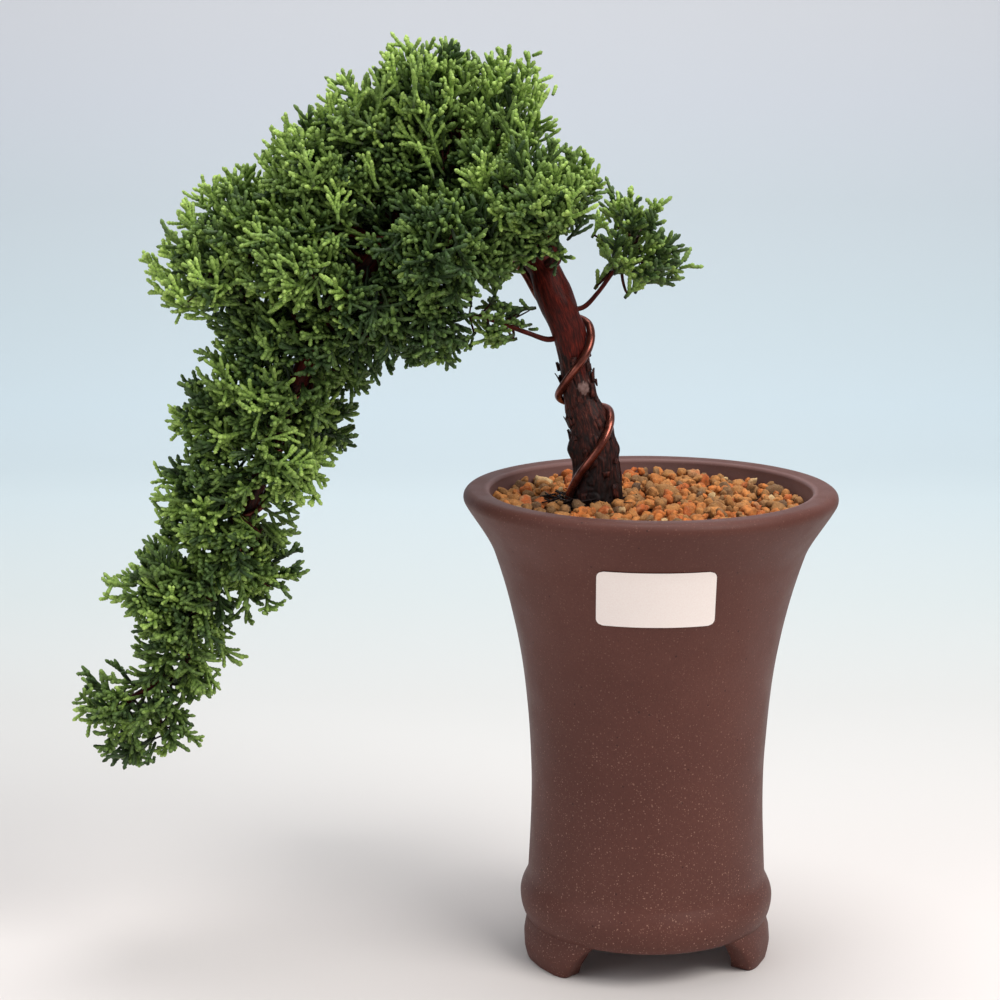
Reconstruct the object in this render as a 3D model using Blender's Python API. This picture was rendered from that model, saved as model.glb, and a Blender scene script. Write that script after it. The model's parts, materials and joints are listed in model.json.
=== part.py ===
"""A semi-cascade juniper bonsai in a tall round stoneware pot on three feet.

Metres, +Z up, the feet stand on Z = 0.  The pot is turned round an upright axis.
The tree rises beside that axis, leans over the rim and hangs down on the -X side;
its front is towards -Y.  At the end the whole model is moved so that the bottom
centre of its box is the origin.
"""

import math

import bmesh
import bpy
import numpy as np
from mathutils import Vector, noise

# ---- clearances ----
GAP = 0.0003  # between pieces that touch on the real thing
WIRE_GAP = 0.0004  # between a training wire and the bark under it

# ---- pot ----
POT_HEIGHT = 0.211
RIM_RADIUS = 0.0815
RIM_WIDTH = 0.0115  # flat top of the lip
LIP_ROUND = 0.0038  # radius of the lip's outer edge
NECK_DROP = 0.0175  # from the rim down to where the lip's underside meets the body
LIP_OVERHANG = 0.010  # how far the lip stands out from the body below it
WAIST_RADIUS = 0.0515
WAIST_HEIGHT = 0.067
FLARE = 2.5  # how late the body opens out above its waist
WALL = 0.0065
FLOOR = 0.008
DRAIN_RADIUS = 0.010
POT_SEGMENTS = 40

# ---- base moulding and feet ----
FOOT_HEIGHT = 0.0165
MOULDING_HEIGHT = 0.0215
BASE_FLARE = 0.0013  # how far the body widens from its waist down to the moulding
MOULDING_BULGE = 0.0037  # how far the moulding stands out from the body
FOOT_SET_IN = 0.0007  # how far the feet stand back from the moulding
FOOT_DEPTH = 0.0115
FOOT_ANGLES = {"left": -61.0, "right": 73.0, "back": 186.0}  # degrees from the front, -Y
FOOT_HALF_BOTTOM = 18.5  # degrees, half the width of a foot where it stands
FOOT_HALF_TOP = 33.0
FOOT_TENON = 0.003  # how far a foot reaches into the pot's floor

# ---- what the pot holds ----
SCREEN_PITCH = 0.006
SCREEN_BAR = 0.002
SCREEN_HOLES = 5  # a side, an odd number
SCREEN_THICKNESS = 0.0009
CLIP_WIRE = 0.0015
CLIP_REACH = 0.022  # how far the legs are bent out under the pot
CLIP_BEND = 0.002
GRAVEL_DROP = 0.006  # from the rim down to the gravel
GRAVEL_DEPTH = 0.014
GRAVEL_MOUND = 0.0006
GRAVEL_BUMP = 0.0004

# ---- label ----
LABEL_WIDTH = 0.052
LABEL_HEIGHT = 0.0265
LABEL_THICKNESS = 0.0002
LABEL_CORNER = 0.003
LABEL_DROP = 0.035  # from the rim down to the label's middle
LABEL_TURN = -1.0  # degrees from the front

# ---- tree ----
TREE_HEIGHT = 0.197  # from the gravel to the top of the crown
TRUNK_SHARE = 0.0523  # the trunk's radius at the gravel, as a share of TREE_HEIGHT
TRUNK_STEP = 0.010
TRUNK_SIDES = 10
BRANCH_STEP = 0.008
BRANCH_SIDES = 6
TRUNK_WIRE = 0.0035
CASCADE_WIRE = 0.0025
CASCADE_WIRE_PITCH = 0.027
TIP_CAP = 0.4  # how far a stem's domed end stands out, as a share of its radius

# The stems are drawn in millimetres from the middle of the gravel's surface, and then
# scaled so that the crown's top comes to TREE_HEIGHT.  The last number of each row is
# the stem's radius as a share of TRUNK_RADIUS.
TRUNK = [
    (-22, -7, -46, 0.80), (-22, -7, -24, 1.20), (-23, -6, -5, 1.08), (-24, -5, 16, 0.98),
    (-26, -4, 31, 0.86), (-30, -2, 43, 0.71), (-33, -2, 60, 0.66), (-35, -2, 71, 0.69),
    (-39, -1, 82, 0.77), (-43, 0, 92, 0.75), (-48, 3, 103, 0.66), (-56, 5, 111, 0.62),
    (-66, 7, 116, 0.60), (-77, 8, 119, 0.58), (-90, 6, 121, 0.56), (-104, 2, 116, 0.54),
    (-119, -4, 104, 0.51), (-133, -8, 86, 0.48), (-145, -8, 66, 0.45), (-155, -6, 46, 0.43),
    (-163, -6, 27, 0.39), (-169, -6, 9, 0.35), (-176, -4, -9, 0.32), (-187, -2, -28, 0.29),
    (-197, 0, -46, 0.26), (-204, 0, -64, 0.23), (-210, 0, -80, 0.19), (-214, 0, -93, 0.15),
    (-214, 0, -106, 0.11),
]
BRANCHES = {
    "branch_front_right": [(-34, -2, 86, 0.30), (-40, -5, 98, 0.26), (-42, -10, 108, 0.24),
                           (-46, -17, 117, 0.22), (-51, -24, 126, 0.19), (-53, -30, 135, 0.15)],
    "branch_right": [(-36, 0, 80, 0.24), (-27, 1, 86, 0.20), (-20, 1, 95, 0.17),
                     (-12, 0, 106, 0.14), (-5, 0, 118, 0.11)],
    "branch_low": [(-37, -2, 68, 0.24), (-52, -3, 73, 0.20), (-62, -6, 77, 0.19),
                   (-72, -12, 81, 0.17), (-84, -18, 83, 0.15), (-98, -22, 82, 0.12)],
    "branch_apex": [(-62, 6, 114, 0.42), (-66, 5, 129, 0.34), (-74, 3, 146, 0.27),
                    (-86, 1, 163, 0.21), (-95, 0, 176, 0.14)],
    "branch_crown_left": [(-88, 6, 121, 0.36), (-98, 6, 137, 0.28), (-111, 3, 152, 0.22),
                          (-123, 1, 163, 0.15)],
    "branch_left": [(-112, 0, 110, 0.34), (-128, -2, 116, 0.28), (-150, -10, 112, 0.24),
                    (-171, -14, 107, 0.19), (-189, -15, 102, 0.13)],
    "branch_upper_left": [(-104, 2, 116, 0.30), (-119, 5, 129, 0.25), (-134, 0, 139, 0.20),
                          (-147, -4, 146, 0.14)],
    "branch_far_left": [(-121, -4, 102, 0.28), (-140, 9, 113, 0.24), (-162, 13, 120, 0.19),
                        (-181, 11, 123, 0.14)],
    "branch_front": [(-80, 7, 119, 0.30), (-83, -12, 120, 0.24), (-85, -27, 114, 0.19),
                     (-87, -38, 108, 0.14)],
    "branch_shoulder": [(-141, -8, 73, 0.26), (-157, -7, 73, 0.21), (-170, -6, 72, 0.15)],
    "branch_lobe_left": [(-157, -6, 42, 0.24), (-173, -3, 38, 0.19), (-189, 0, 35, 0.13)],
    "branch_lobe_back": [(-159, -6, 37, 0.22), (-152, 7, 37, 0.18), (-146, 18, 38, 0.13)],
    "branch_mid_left": [(-171, -6, 3, 0.22), (-183, -4, 1, 0.18), (-195, -2, -1, 0.13)],
    "branch_mid_low": [(-185, -2, -25, 0.22), (-176, 3, -31, 0.18), (-167, 7, -40, 0.13)],
    "branch_low_left": [(-194, -1, -41, 0.19), (-205, -3, -39, 0.16), (-216, -4, -38, 0.12)],
    "branch_tip_shoot": [(-208, 0, -76, 0.15), (-218, -2, -82, 0.14), (-227, -4, -88, 0.13),
                         (-239, -6, -95, 0.10)],
    "branch_back": [(-74, 8, 118, 0.32), (-80, 24, 128, 0.26), (-84, 38, 139, 0.20),
                    (-86, 48, 149, 0.14)],
    "branch_back_left": [(-100, 3, 117, 0.30), (-118, 22, 113, 0.25), (-136, 36, 110, 0.20),
                         (-155, 45, 109, 0.14)],
    "branch_back_low": [(-110, 0, 111, 0.28), (-114, 18, 100, 0.23), (-118, 34, 91, 0.18),
                        (-120, 43, 86, 0.13)],
}
# Each clump of foliage: the middle and the half-widths of its rounded outline.
PADS = {
    "foliage_apex": ((-97, 0, 174), (25, 30, 22)),
    "foliage_crown_right": ((-66, 5, 168), (23, 30, 22)),
    "foliage_crown_left": ((-124, 0, 162), (19, 28, 18)),
    "foliage_crown_core": ((-108, 20, 136), (33, 30, 26)),
    "foliage_upper_left": ((-146, -5, 145), (21, 28, 20)),
    "foliage_left_upper": ((-180, 9, 121), (22, 28, 18)),
    "foliage_left_tip": ((-191, -15, 101), (23, 26, 16)),
    "foliage_left_inner": ((-152, -24, 106), (25, 28, 20)),
    "foliage_front": ((-86, -36, 109), (30, 28, 20)),
    "foliage_under": ((-103, -20, 80), (30, 28, 18)),
    "foliage_right_front": ((-52, -31, 136), (29, 28, 19)),
    "foliage_right_spray": ((-8, 0, 113), (18, 18, 23)),
    "foliage_low_spray": ((-67, -9, 79), (18, 17, 12)),
    "foliage_under_left": ((-132, 4, 67), (24, 30, 23)),
    "foliage_shoulder": ((-170, -5, 73), (21, 26, 16)),
    "foliage_shoulder_low": ((-174, -15, 54), (22, 24, 14)),
    "foliage_lobe_left": ((-189, 0, 34), (21, 24, 15)),
    "foliage_lobe_back": ((-145, 18, 38), (18, 23, 22)),
    "foliage_lobe_right": ((-154, -14, 15), (20, 22, 18)),
    "foliage_mid_left": ((-193, -2, -1), (26, 26, 20)),
    "foliage_mid_low": ((-178, 6, -29), (22, 22, 19)),
    "foliage_low_left": ((-214, -4, -38), (22, 22, 16)),
    "foliage_low_mid": ((-207, 2, -60), (21, 21, 16)),
    "foliage_tip_shoot": ((-238, -6, -96), (19, 15, 15)),
    "foliage_tip_right": ((-203, 4, -81), (18, 18, 14)),
    "foliage_tip_end": ((-215, 0, -104), (12, 12, 15)),
    "foliage_back_crown": ((-85, 46, 147), (28, 24, 24)),
    "foliage_back_left": ((-154, 43, 112), (29, 25, 23)),
    "foliage_back_low": ((-119, 41, 86), (28, 25, 22)),
}
PAD_COLUMNS = 10
PAD_ROWS = 7
PAD_LUMP = 0.13  # how far a clump's outline swells and dips, as a share of its radius
PAD_LUMP_SIZE = 1.7
PAD_GAP = 0.0006

# Where the thick wire lies: distance along the trunk in drawn millimetres, and turns
# round it from the front, which count up as the wire climbs to the right.
TRUNK_WIRE_ROUTE = [
    (30, -0.34), (50, -0.20), (69, 0.0), (83, 0.25), (95, 0.75), (107, 1.0), (120, 1.25),
    (132, 1.55), (150, 1.66), (168, 1.72), (184, 2.0), (196, 2.3),
]
CASCADE_WIRE_START = 206  # along the trunk, in drawn millimetres
CASCADE_WIRE_SPARE = 34  # left bare before the trunk's tip
CASCADE_WIRE_TURN = 0.30

# ---- sizes that follow ----
NECK_RADIUS = RIM_RADIUS - LIP_OVERHANG
BASE_RADIUS = WAIST_RADIUS + BASE_FLARE
MOULDING_RADIUS = BASE_RADIUS + MOULDING_BULGE
FOOT_RADIUS = MOULDING_RADIUS - FOOT_SET_IN
TRUNK_RADIUS = TREE_HEIGHT * TRUNK_SHARE
CLIP_LEG = SCREEN_PITCH  # each leg's distance from the drain hole's axis
NECK_HEIGHT = POT_HEIGHT - NECK_DROP
MOULDING_TOP = FOOT_HEIGHT + MOULDING_HEIGHT
FLOOR_TOP = FOOT_HEIGHT + FLOOR
GRAVEL_TOP = POT_HEIGHT - GRAVEL_DROP
SOIL_TOP = GRAVEL_TOP - GRAVEL_DEPTH
DRAWN_HEIGHT = max(middle[2] + half[2] for middle, half in PADS.values())
SCALE = TREE_HEIGHT / DRAWN_HEIGHT  # metres for each drawn millimetre


def clear_scene():
    for obj in list(bpy.data.objects):
        bpy.data.objects.remove(obj, do_unlink=True)


def material(name, color, roughness, metallic=0.0):
    made = bpy.data.materials.new(name)
    made.use_nodes = True
    shader = made.node_tree.nodes["Principled BSDF"]
    shader.inputs["Base Color"].default_value = (*color, 1.0)
    shader.inputs["Roughness"].default_value = roughness
    shader.inputs["Metallic"].default_value = metallic
    made.diffuse_color = (*color, 1.0)
    return made


def add_object(name, vertices, faces, finish=None, sharp_degrees=40.0):
    """A named object of a closed mesh, its faces turned outwards and shaded smooth."""
    mesh = bpy.data.meshes.new(name)
    mesh.from_pydata([tuple(v) for v in vertices], [], faces)
    shape = bmesh.new()
    shape.from_mesh(mesh)
    bmesh.ops.recalc_face_normals(shape, faces=shape.faces)
    shape.to_mesh(mesh)
    shape.free()
    mesh.shade_smooth()
    mesh.set_sharp_from_angle(angle=math.radians(sharp_degrees))
    obj = bpy.data.objects.new(name, mesh)
    bpy.context.collection.objects.link(obj)
    if finish:
        mesh.materials.append(finish)
    else:
        obj.hide_render = True
        obj.display_type = "WIRE"
    return obj


def keep_largest_body(mesh):
    """Leaves only the largest body, its faces outwards, without the crumbs of a cut."""
    shape = bmesh.new()
    shape.from_mesh(mesh)
    left = set(shape.faces)
    bodies = []
    while left:
        body = {left.pop()}
        edge_of = list(body)
        while edge_of:
            face = edge_of.pop()
            for edge in face.edges:
                for other in edge.link_faces:
                    if other in left:
                        left.remove(other)
                        body.add(other)
                        edge_of.append(other)
        bodies.append(body)
    bodies.sort(key=lambda faces: sum(face.calc_area() for face in faces))
    for body in bodies[:-1]:
        bmesh.ops.delete(shape, geom=list(body), context="FACES")
    bmesh.ops.recalc_face_normals(shape, faces=shape.faces)
    shape.to_mesh(mesh)
    shape.free()


def box_of(obj):
    corners = np.array([obj.matrix_world @ v.co for v in obj.data.vertices])
    return corners.min(axis=0), corners.max(axis=0)


def boxes_meet(a, b):
    low_a, high_a = box_of(a)
    low_b, high_b = box_of(b)
    return bool(np.all(low_a <= high_b) and np.all(low_b <= high_a))


def combine(obj, others, operation):
    """Joins the others to obj, or cuts them out of it, and bakes the result."""
    met = [other for other in others if boxes_meet(obj, other)]
    if not met:
        return
    for other in met:
        modifier = obj.modifiers.new(other.name, "BOOLEAN")
        modifier.operation = operation
        modifier.solver = "EXACT"
        modifier.object = other
    evaluated = obj.evaluated_get(bpy.context.evaluated_depsgraph_get())
    mesh = bpy.data.meshes.new_from_object(evaluated)
    obj.modifiers.clear()
    obj.data = mesh
    keep_largest_body(mesh)


def turned(name, profile, finish=None, segments=POT_SEGMENTS, lift=None):
    """A body turned round +Z from an outline of (radius, height) points.

    An outline that starts and ends on the axis closes there; any other outline is
    a ring that closes on itself.  lift(radius, angle) raises a point of the outline
    where its third number is 1.
    """
    solid = profile[0][0] == 0.0
    rows = profile[1:-1] if solid else profile
    vertices = []
    for row in rows:
        for step in range(segments):
            angle = 2 * math.pi * step / segments
            height = row[1]
            if lift and len(row) > 2:
                height += lift(row[0], angle)
            vertices.append((row[0] * math.cos(angle), row[0] * math.sin(angle), height))
    faces = []
    last = len(rows) - 1 if solid else len(rows)
    for i in range(last):
        for step in range(segments):
            after = (step + 1) % segments
            upper = (i + 1) % len(rows) * segments
            faces.append((i * segments + step, i * segments + after,
                          upper + after, upper + step))
    if solid:
        for end, row_start in ((profile[0], 0), (profile[-1], (len(rows) - 1) * segments)):
            pole = len(vertices)
            vertices.append((0.0, 0.0, end[1]))
            for step in range(segments):
                faces.append((row_start + step, row_start + (step + 1) % segments, pole))
    return add_object(name, vertices, faces, finish)


# ---- the pot's outlines, which everything in and on it follows ----

def body_radius(height):
    """Outer radius of the body between the base moulding and the neck."""
    if height >= WAIST_HEIGHT:
        rise = (height - WAIST_HEIGHT) / (NECK_HEIGHT - WAIST_HEIGHT)
        return WAIST_RADIUS + (NECK_RADIUS - WAIST_RADIUS) * rise ** FLARE
    drop = (WAIST_HEIGHT - height) / (WAIST_HEIGHT - MOULDING_TOP)
    return WAIST_RADIUS + (BASE_RADIUS - WAIST_RADIUS) * drop ** 2


def body_heights(steps=6):
    """Heights of the body's rows, from the moulding up to the neck."""
    below = [MOULDING_TOP]
    above = [WAIST_HEIGHT + (NECK_HEIGHT - WAIST_HEIGHT) * i / steps for i in range(steps + 1)]
    return below + above


def outer_outline():
    """From the underside's edge up to the lip's outer edge."""
    points = []
    for t in (-1.0, -0.8, -0.4, 0.05, 0.5):
        height = FOOT_HEIGHT + MOULDING_HEIGHT * (t + 1) / 2
        bulge = math.cos(math.pi / 2 * t) ** (0.7 if t < 0 else 1.4)
        points.append((BASE_RADIUS + (MOULDING_RADIUS - BASE_RADIUS) * max(bulge, 0.0), height))
    points += [(body_radius(height), height) for height in body_heights()]
    for degrees in (-50, -10, 30, 65, 90):
        angle = math.radians(degrees)
        points.append((RIM_RADIUS - LIP_ROUND + LIP_ROUND * math.cos(angle),
                       POT_HEIGHT - LIP_ROUND + LIP_ROUND * math.sin(angle)))
    return points


def inner_outline():
    """From the lip's inner edge down to the drain hole's upper edge."""
    mouth = RIM_RADIUS - RIM_WIDTH
    edge = WALL / 4
    points = [(mouth + edge, POT_HEIGHT), (mouth, POT_HEIGHT - edge)]
    points += [(body_radius(h) - WALL, h) for h in reversed(body_heights())]
    corner = points[-1][0]
    rise = MOULDING_TOP - FLOOR_TOP
    points.append((corner - rise * 0.2, FLOOR_TOP + rise * 0.35))
    points.append((corner - rise * 0.6, FLOOR_TOP))
    points.append((DRAIN_RADIUS, FLOOR_TOP))
    return points


def radius_on(outline, height):
    """Radius of an outline at a height, between its points as the facets run."""
    rows = sorted((point[1], point[0]) for point in outline)
    return float(np.interp(height, [row[0] for row in rows], [row[1] for row in rows]))


def inner_wall():
    """The part of the inner outline that fillings lie against, without the floor."""
    return inner_outline()[1:-1]


def filling_side(bottom, top):
    """Outline of a filling's side between two heights, a gap inside the pot's wall."""
    wall = inner_wall()
    between = [p for p in reversed(wall) if bottom < p[1] < top]
    ends = [(radius_on(wall, bottom), bottom)], [(radius_on(wall, top), top)]
    return [(radius - GAP, height) for radius, height in ends[0] + between + ends[1]]


# ---- pot ----

def foot_block(name, degrees):
    """A curved block under the moulding that narrows downwards."""
    levels = [  # height, half width in degrees, outer radius
        (0.0, FOOT_HALF_BOTTOM, FOOT_RADIUS - 0.0008),
        (FOOT_HEIGHT * 0.3, FOOT_HALF_BOTTOM + 2.5, FOOT_RADIUS),
        (FOOT_HEIGHT * 0.7, FOOT_HALF_TOP - 7.0, FOOT_RADIUS - 0.0005),
        (FOOT_HEIGHT + FOOT_TENON, FOOT_HALF_TOP, FOOT_RADIUS - 0.0023),
    ]
    columns = 6
    vertices = []
    for height, half, outer in levels:
        for radius in (outer - FOOT_DEPTH, outer):
            for i in range(columns + 1):
                angle = math.radians(degrees - half + 2 * half * i / columns)
                vertices.append((radius * math.sin(angle), -radius * math.cos(angle), height))

    def at(level, side, i):
        return (level * 2 + side) * (columns + 1) + i

    faces = []
    for level in range(len(levels) - 1):
        for i in range(columns):
            for side in (0, 1):
                faces.append((at(level, side, i), at(level, side, i + 1),
                              at(level + 1, side, i + 1), at(level + 1, side, i)))
        for i in (0, columns):
            faces.append((at(level, 0, i), at(level, 1, i),
                          at(level + 1, 1, i), at(level + 1, 0, i)))
    for level in (0, len(levels) - 1):
        for i in range(columns):
            faces.append((at(level, 0, i), at(level, 0, i + 1),
                          at(level, 1, i + 1), at(level, 1, i)))
    return add_object(name, vertices, faces)


def make_pot(finish):
    outline = [(DRAIN_RADIUS, FOOT_HEIGHT)] + outer_outline() + inner_outline()
    pot = turned("pot", outline, finish)
    feet = [foot_block(f"{side}_foot", angle) for side, angle in FOOT_ANGLES.items()]
    combine(pot, feet, "UNION")
    pot.data.materials.clear()
    pot.data.materials.append(finish)
    for foot in feet:
        bpy.data.objects.remove(foot, do_unlink=True)
    return pot


def make_drain_screen(finish):
    """A square plastic mesh over the drain hole."""
    cells = 2 * SCREEN_HOLES + 1  # bars and holes take turns
    lines = [0.0]
    for cell in range(cells):
        lines.append(lines[-1] + (SCREEN_PITCH - SCREEN_BAR if cell % 2 else SCREEN_BAR))
    half = lines[-1] / 2
    bottom = FLOOR_TOP + GAP
    shape = bmesh.new()
    grid = [[shape.verts.new((x - half, y - half, bottom)) for y in lines] for x in lines]
    for i in range(cells):
        for j in range(cells):
            if i % 2 == 0 or j % 2 == 0:
                shape.faces.new((grid[i][j], grid[i + 1][j], grid[i + 1][j + 1], grid[i][j + 1]))
    raised = bmesh.ops.extrude_face_region(shape, geom=list(shape.faces))
    top = [item for item in raised["geom"] if isinstance(item, bmesh.types.BMVert)]
    bmesh.ops.translate(shape, verts=top, vec=(0, 0, SCREEN_THICKNESS))
    bmesh.ops.recalc_face_normals(shape, faces=shape.faces)
    mesh = bpy.data.meshes.new("drain_screen")
    shape.to_mesh(mesh)
    shape.free()
    mesh.materials.append(finish)
    obj = bpy.data.objects.new("drain_screen", mesh)
    bpy.context.collection.objects.link(obj)
    return obj


def clip_top():
    """Height of the clip's upper side over the screen."""
    return FLOOR_TOP + GAP + SCREEN_THICKNESS + GAP + CLIP_WIRE


def make_screen_clip(finish):
    """A bent wire that runs over the screen, down through the hole and out both ways."""
    upper = clip_top() - CLIP_WIRE / 2
    lower = FOOT_HEIGHT - GAP - CLIP_WIRE / 2
    half = [(0.0, upper), (CLIP_LEG - CLIP_BEND, upper)]
    for degrees in (30, 60, 90):
        angle = math.radians(degrees)
        half.append((CLIP_LEG - CLIP_BEND + CLIP_BEND * math.sin(angle),
                     upper - CLIP_BEND + CLIP_BEND * math.cos(angle)))
    for degrees in (0, 30, 60, 90):
        angle = math.radians(degrees)
        half.append((CLIP_LEG + CLIP_BEND - CLIP_BEND * math.cos(angle),
                     lower + CLIP_BEND - CLIP_BEND * math.sin(angle)))
    half.append((CLIP_REACH, lower))
    route = [(-x, 0.0, z) for x, z in reversed(half[1:])] + [(x, 0.0, z) for x, z in half]
    radii = [CLIP_WIRE / 2] * len(route)
    return tube("screen_clip", np.array(route), radii, 6, finish)


def make_soil(finish):
    pocket = SCREEN_HOLES * SCREEN_PITCH * 0.5 * math.sqrt(2) + SCREEN_BAR
    roof = clip_top() + GAP
    bottom = FLOOR_TOP + GAP
    side = filling_side(bottom, SOIL_TOP)
    outline = [(0.0, roof), (pocket, roof), (pocket, bottom)] + side + [(0.0, SOIL_TOP)]
    return turned("soil", outline, finish)


def gravel_lift(radius, angle):
    """How far the gravel's surface stands above GRAVEL_TOP at its rows inside the wall."""
    mound = GRAVEL_MOUND * (1 - (radius / RIM_RADIUS) ** 2)
    ripple = math.sin(5 * angle + 90 * radius) + math.cos(7 * angle - 140 * radius)
    return mound + GRAVEL_BUMP * ripple / 2


def make_gravel(finish):
    side = filling_side(SOIL_TOP + GAP, GRAVEL_TOP)
    reach = side[-1][0]
    surface = [(reach * share, GRAVEL_TOP, 1) for share in (0.85, 0.65, 0.45, 0.25)]
    outline = [(0.0, SOIL_TOP + GAP)] + side + surface + [(0.0, GRAVEL_TOP + GRAVEL_MOUND)]
    return turned("gravel_topping", outline, finish, lift=gravel_lift)


def make_label(finish):
    """A sticker with rounded corners that follows the pot's round."""
    outline = outer_outline()
    middle = POT_HEIGHT - LABEL_DROP
    columns = 12
    rounding = [0.0, 0.3, 1.0]
    offsets = [-LABEL_HEIGHT / 2 + LABEL_CORNER * share for share in rounding]
    offsets += [-offset for offset in reversed(offsets)]
    vertices = []
    for offset in offsets:
        height = middle + offset
        into = max(LABEL_CORNER - (LABEL_HEIGHT / 2 - abs(offset)), 0.0)
        half = LABEL_WIDTH / 2 - LABEL_CORNER + math.sqrt(LABEL_CORNER ** 2 - into ** 2)
        for lift in (GAP, GAP + LABEL_THICKNESS):
            radius = radius_on(outline, height) + lift
            for i in range(columns + 1):
                along = half * (2 * i / columns - 1)
                angle = along / radius_on(outline, middle) + math.radians(LABEL_TURN)
                vertices.append((radius * math.sin(angle), -radius * math.cos(angle), height))

    def at(row, side, i):
        return (row * 2 + side) * (columns + 1) + i

    faces = []
    rows = len(offsets)
    for row in range(rows - 1):
        for i in range(columns):
            for side in (0, 1):
                faces.append((at(row, side, i), at(row, side, i + 1),
                              at(row + 1, side, i + 1), at(row + 1, side, i)))
        for i in (0, columns):
            faces.append((at(row, 0, i), at(row, 1, i), at(row + 1, 1, i), at(row + 1, 0, i)))
    for row in (0, rows - 1):
        for i in range(columns):
            faces.append((at(row, 0, i), at(row, 0, i + 1), at(row, 1, i + 1), at(row, 1, i)))
    return add_object("label", vertices, faces, finish)


# ---- stems and wires ----

def smooth_rows(rows, step):
    """Rows about a step apart on a smooth curve through the given rows.

    The step is measured over the first three numbers of a row, or over the first
    one where a row has only two.
    """
    rows = np.array(rows, float)
    ends = [2 * rows[0] - rows[1]], [2 * rows[-1] - rows[-2]]
    points = np.concatenate([ends[0], rows, ends[1]])
    dense = []
    for i in range(1, len(points) - 2):
        a, b, c, d = points[i - 1:i + 3]
        for t in np.linspace(0, 1, 12, endpoint=False):
            dense.append(0.5 * (2 * b + (c - a) * t + (2 * a - 5 * b + 4 * c - d) * t ** 2
                                + (3 * b - a - 3 * c + d) * t ** 3))
    dense.append(rows[-1])
    dense = np.array(dense)
    measured = dense[:, :3] if dense.shape[1] > 2 else dense[:, :1]
    along = np.concatenate([[0], np.cumsum(np.linalg.norm(np.diff(measured, axis=0), axis=1))])
    count = max(int(round(along[-1] / step)), 2)
    wanted = np.linspace(0, along[-1], count + 1)
    return np.stack([np.interp(wanted, along, column) for column in dense.T], axis=1)


def placed(row):
    """A drawn point in metres on the tree's scale."""
    return (row[0] * SCALE, row[1] * SCALE, GRAVEL_TOP + row[2] * SCALE)


def stem(rows, step):
    """Centre points in metres and radii of a drawn stem."""
    smooth = smooth_rows([(*placed(row), row[3] * TRUNK_RADIUS) for row in rows], step)
    return smooth[:, :3], smooth[:, 3]


def carried_frames(points):
    """At each point: along the curve, towards its front and towards its right."""
    ahead = np.gradient(points, axis=0)
    ahead /= np.linalg.norm(ahead, axis=1)[:, None]
    front = np.array([0.0, -1.0, 0.0])
    fronts = []
    for direction in ahead:
        front = front - direction * front.dot(direction)
        front /= np.linalg.norm(front)
        fronts.append(front)
    fronts = np.array(fronts)
    return ahead, fronts, np.cross(ahead, fronts)


def tube(name, points, radii, sides, finish=None):
    """A round bar along points, with a low domed cap at each end."""
    ahead, fronts, rights = carried_frames(points)
    vertices = []
    for point, radius, front, right in zip(points, radii, fronts, rights):
        for side in range(sides):
            angle = 2 * math.pi * side / sides
            vertices.append(point + radius * (front * math.cos(angle) + right * math.sin(angle)))
    faces = []
    for ring in range(len(points) - 1):
        for side in range(sides):
            after = (side + 1) % sides
            faces.append((ring * sides + side, ring * sides + after,
                          (ring + 1) * sides + after, (ring + 1) * sides + side))
    for ring, sign in ((0, -1), (len(points) - 1, 1)):
        pole = len(vertices)
        vertices.append(points[ring] + ahead[ring] * sign * radii[ring] * TIP_CAP)
        for side in range(sides):
            faces.append((ring * sides + side, ring * sides + (side + 1) % sides, pole))
    return add_object(name, vertices, faces, finish)


def wound(route, wire):
    """Centre points of a wire wound round the trunk.

    route has rows of (metres along the trunk, turns from the front).
    """
    points, radii = stem(TRUNK, TRUNK_STEP / 4)
    lengths = np.linalg.norm(np.diff(points, axis=0), axis=1)
    along = np.concatenate([[0], np.cumsum(lengths)])
    frames = carried_frames(points)
    coil = []
    for distance, turns in route:
        centre, front, right = (
            np.array([np.interp(distance, along, column) for column in values.T])
            for values in (points, frames[1], frames[2])
        )
        reach = np.interp(distance, along, radii) + WIRE_GAP + wire / 2
        angle = 2 * math.pi * turns
        coil.append(centre + reach * (front * math.cos(angle) + right * math.sin(angle)))
    return np.array(coil)


def trunk_length():
    points, _ = stem(TRUNK, TRUNK_STEP / 4)
    return float(np.linalg.norm(np.diff(points, axis=0), axis=1).sum())


def trunk_wire_route():
    rows = smooth_rows(TRUNK_WIRE_ROUTE, 1.0)
    fine = [(distance * SCALE, turns) for distance, turns in rows]
    kept = [fine[0]]
    for row in fine[1:]:
        if row[0] - kept[-1][0] > 0.006 or abs(row[1] - kept[-1][1]) > 1 / 20:
            kept.append(row)
    return kept


def cascade_wire_route():
    start = CASCADE_WIRE_START * SCALE
    end = trunk_length() - CASCADE_WIRE_SPARE * SCALE
    turns = (end - start) / CASCADE_WIRE_PITCH
    count = int(turns * 12)
    return [(start + (end - start) * i / count, CASCADE_WIRE_TURN + turns * i / count)
            for i in range(count + 1)]


def sleeve_radii(points, radii):
    """Room that foliage leaves round the trunk: its bark, and any wire wound on it."""
    lengths = np.linalg.norm(np.diff(points, axis=0), axis=1)
    along = np.concatenate([[0], np.cumsum(lengths)])
    spare = TRUNK_STEP
    thick = (TRUNK_WIRE_ROUTE[-1][0]) * SCALE + spare
    thin = trunk_length() - CASCADE_WIRE_SPARE * SCALE + spare
    wire = np.where(along < thick, TRUNK_WIRE, np.where(along < thin, CASCADE_WIRE, 0.0))
    room = radii + np.where(wire > 0, WIRE_GAP + wire, 0.0) + GAP
    return room / math.cos(math.pi / TRUNK_SIDES)


# ---- foliage ----

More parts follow.
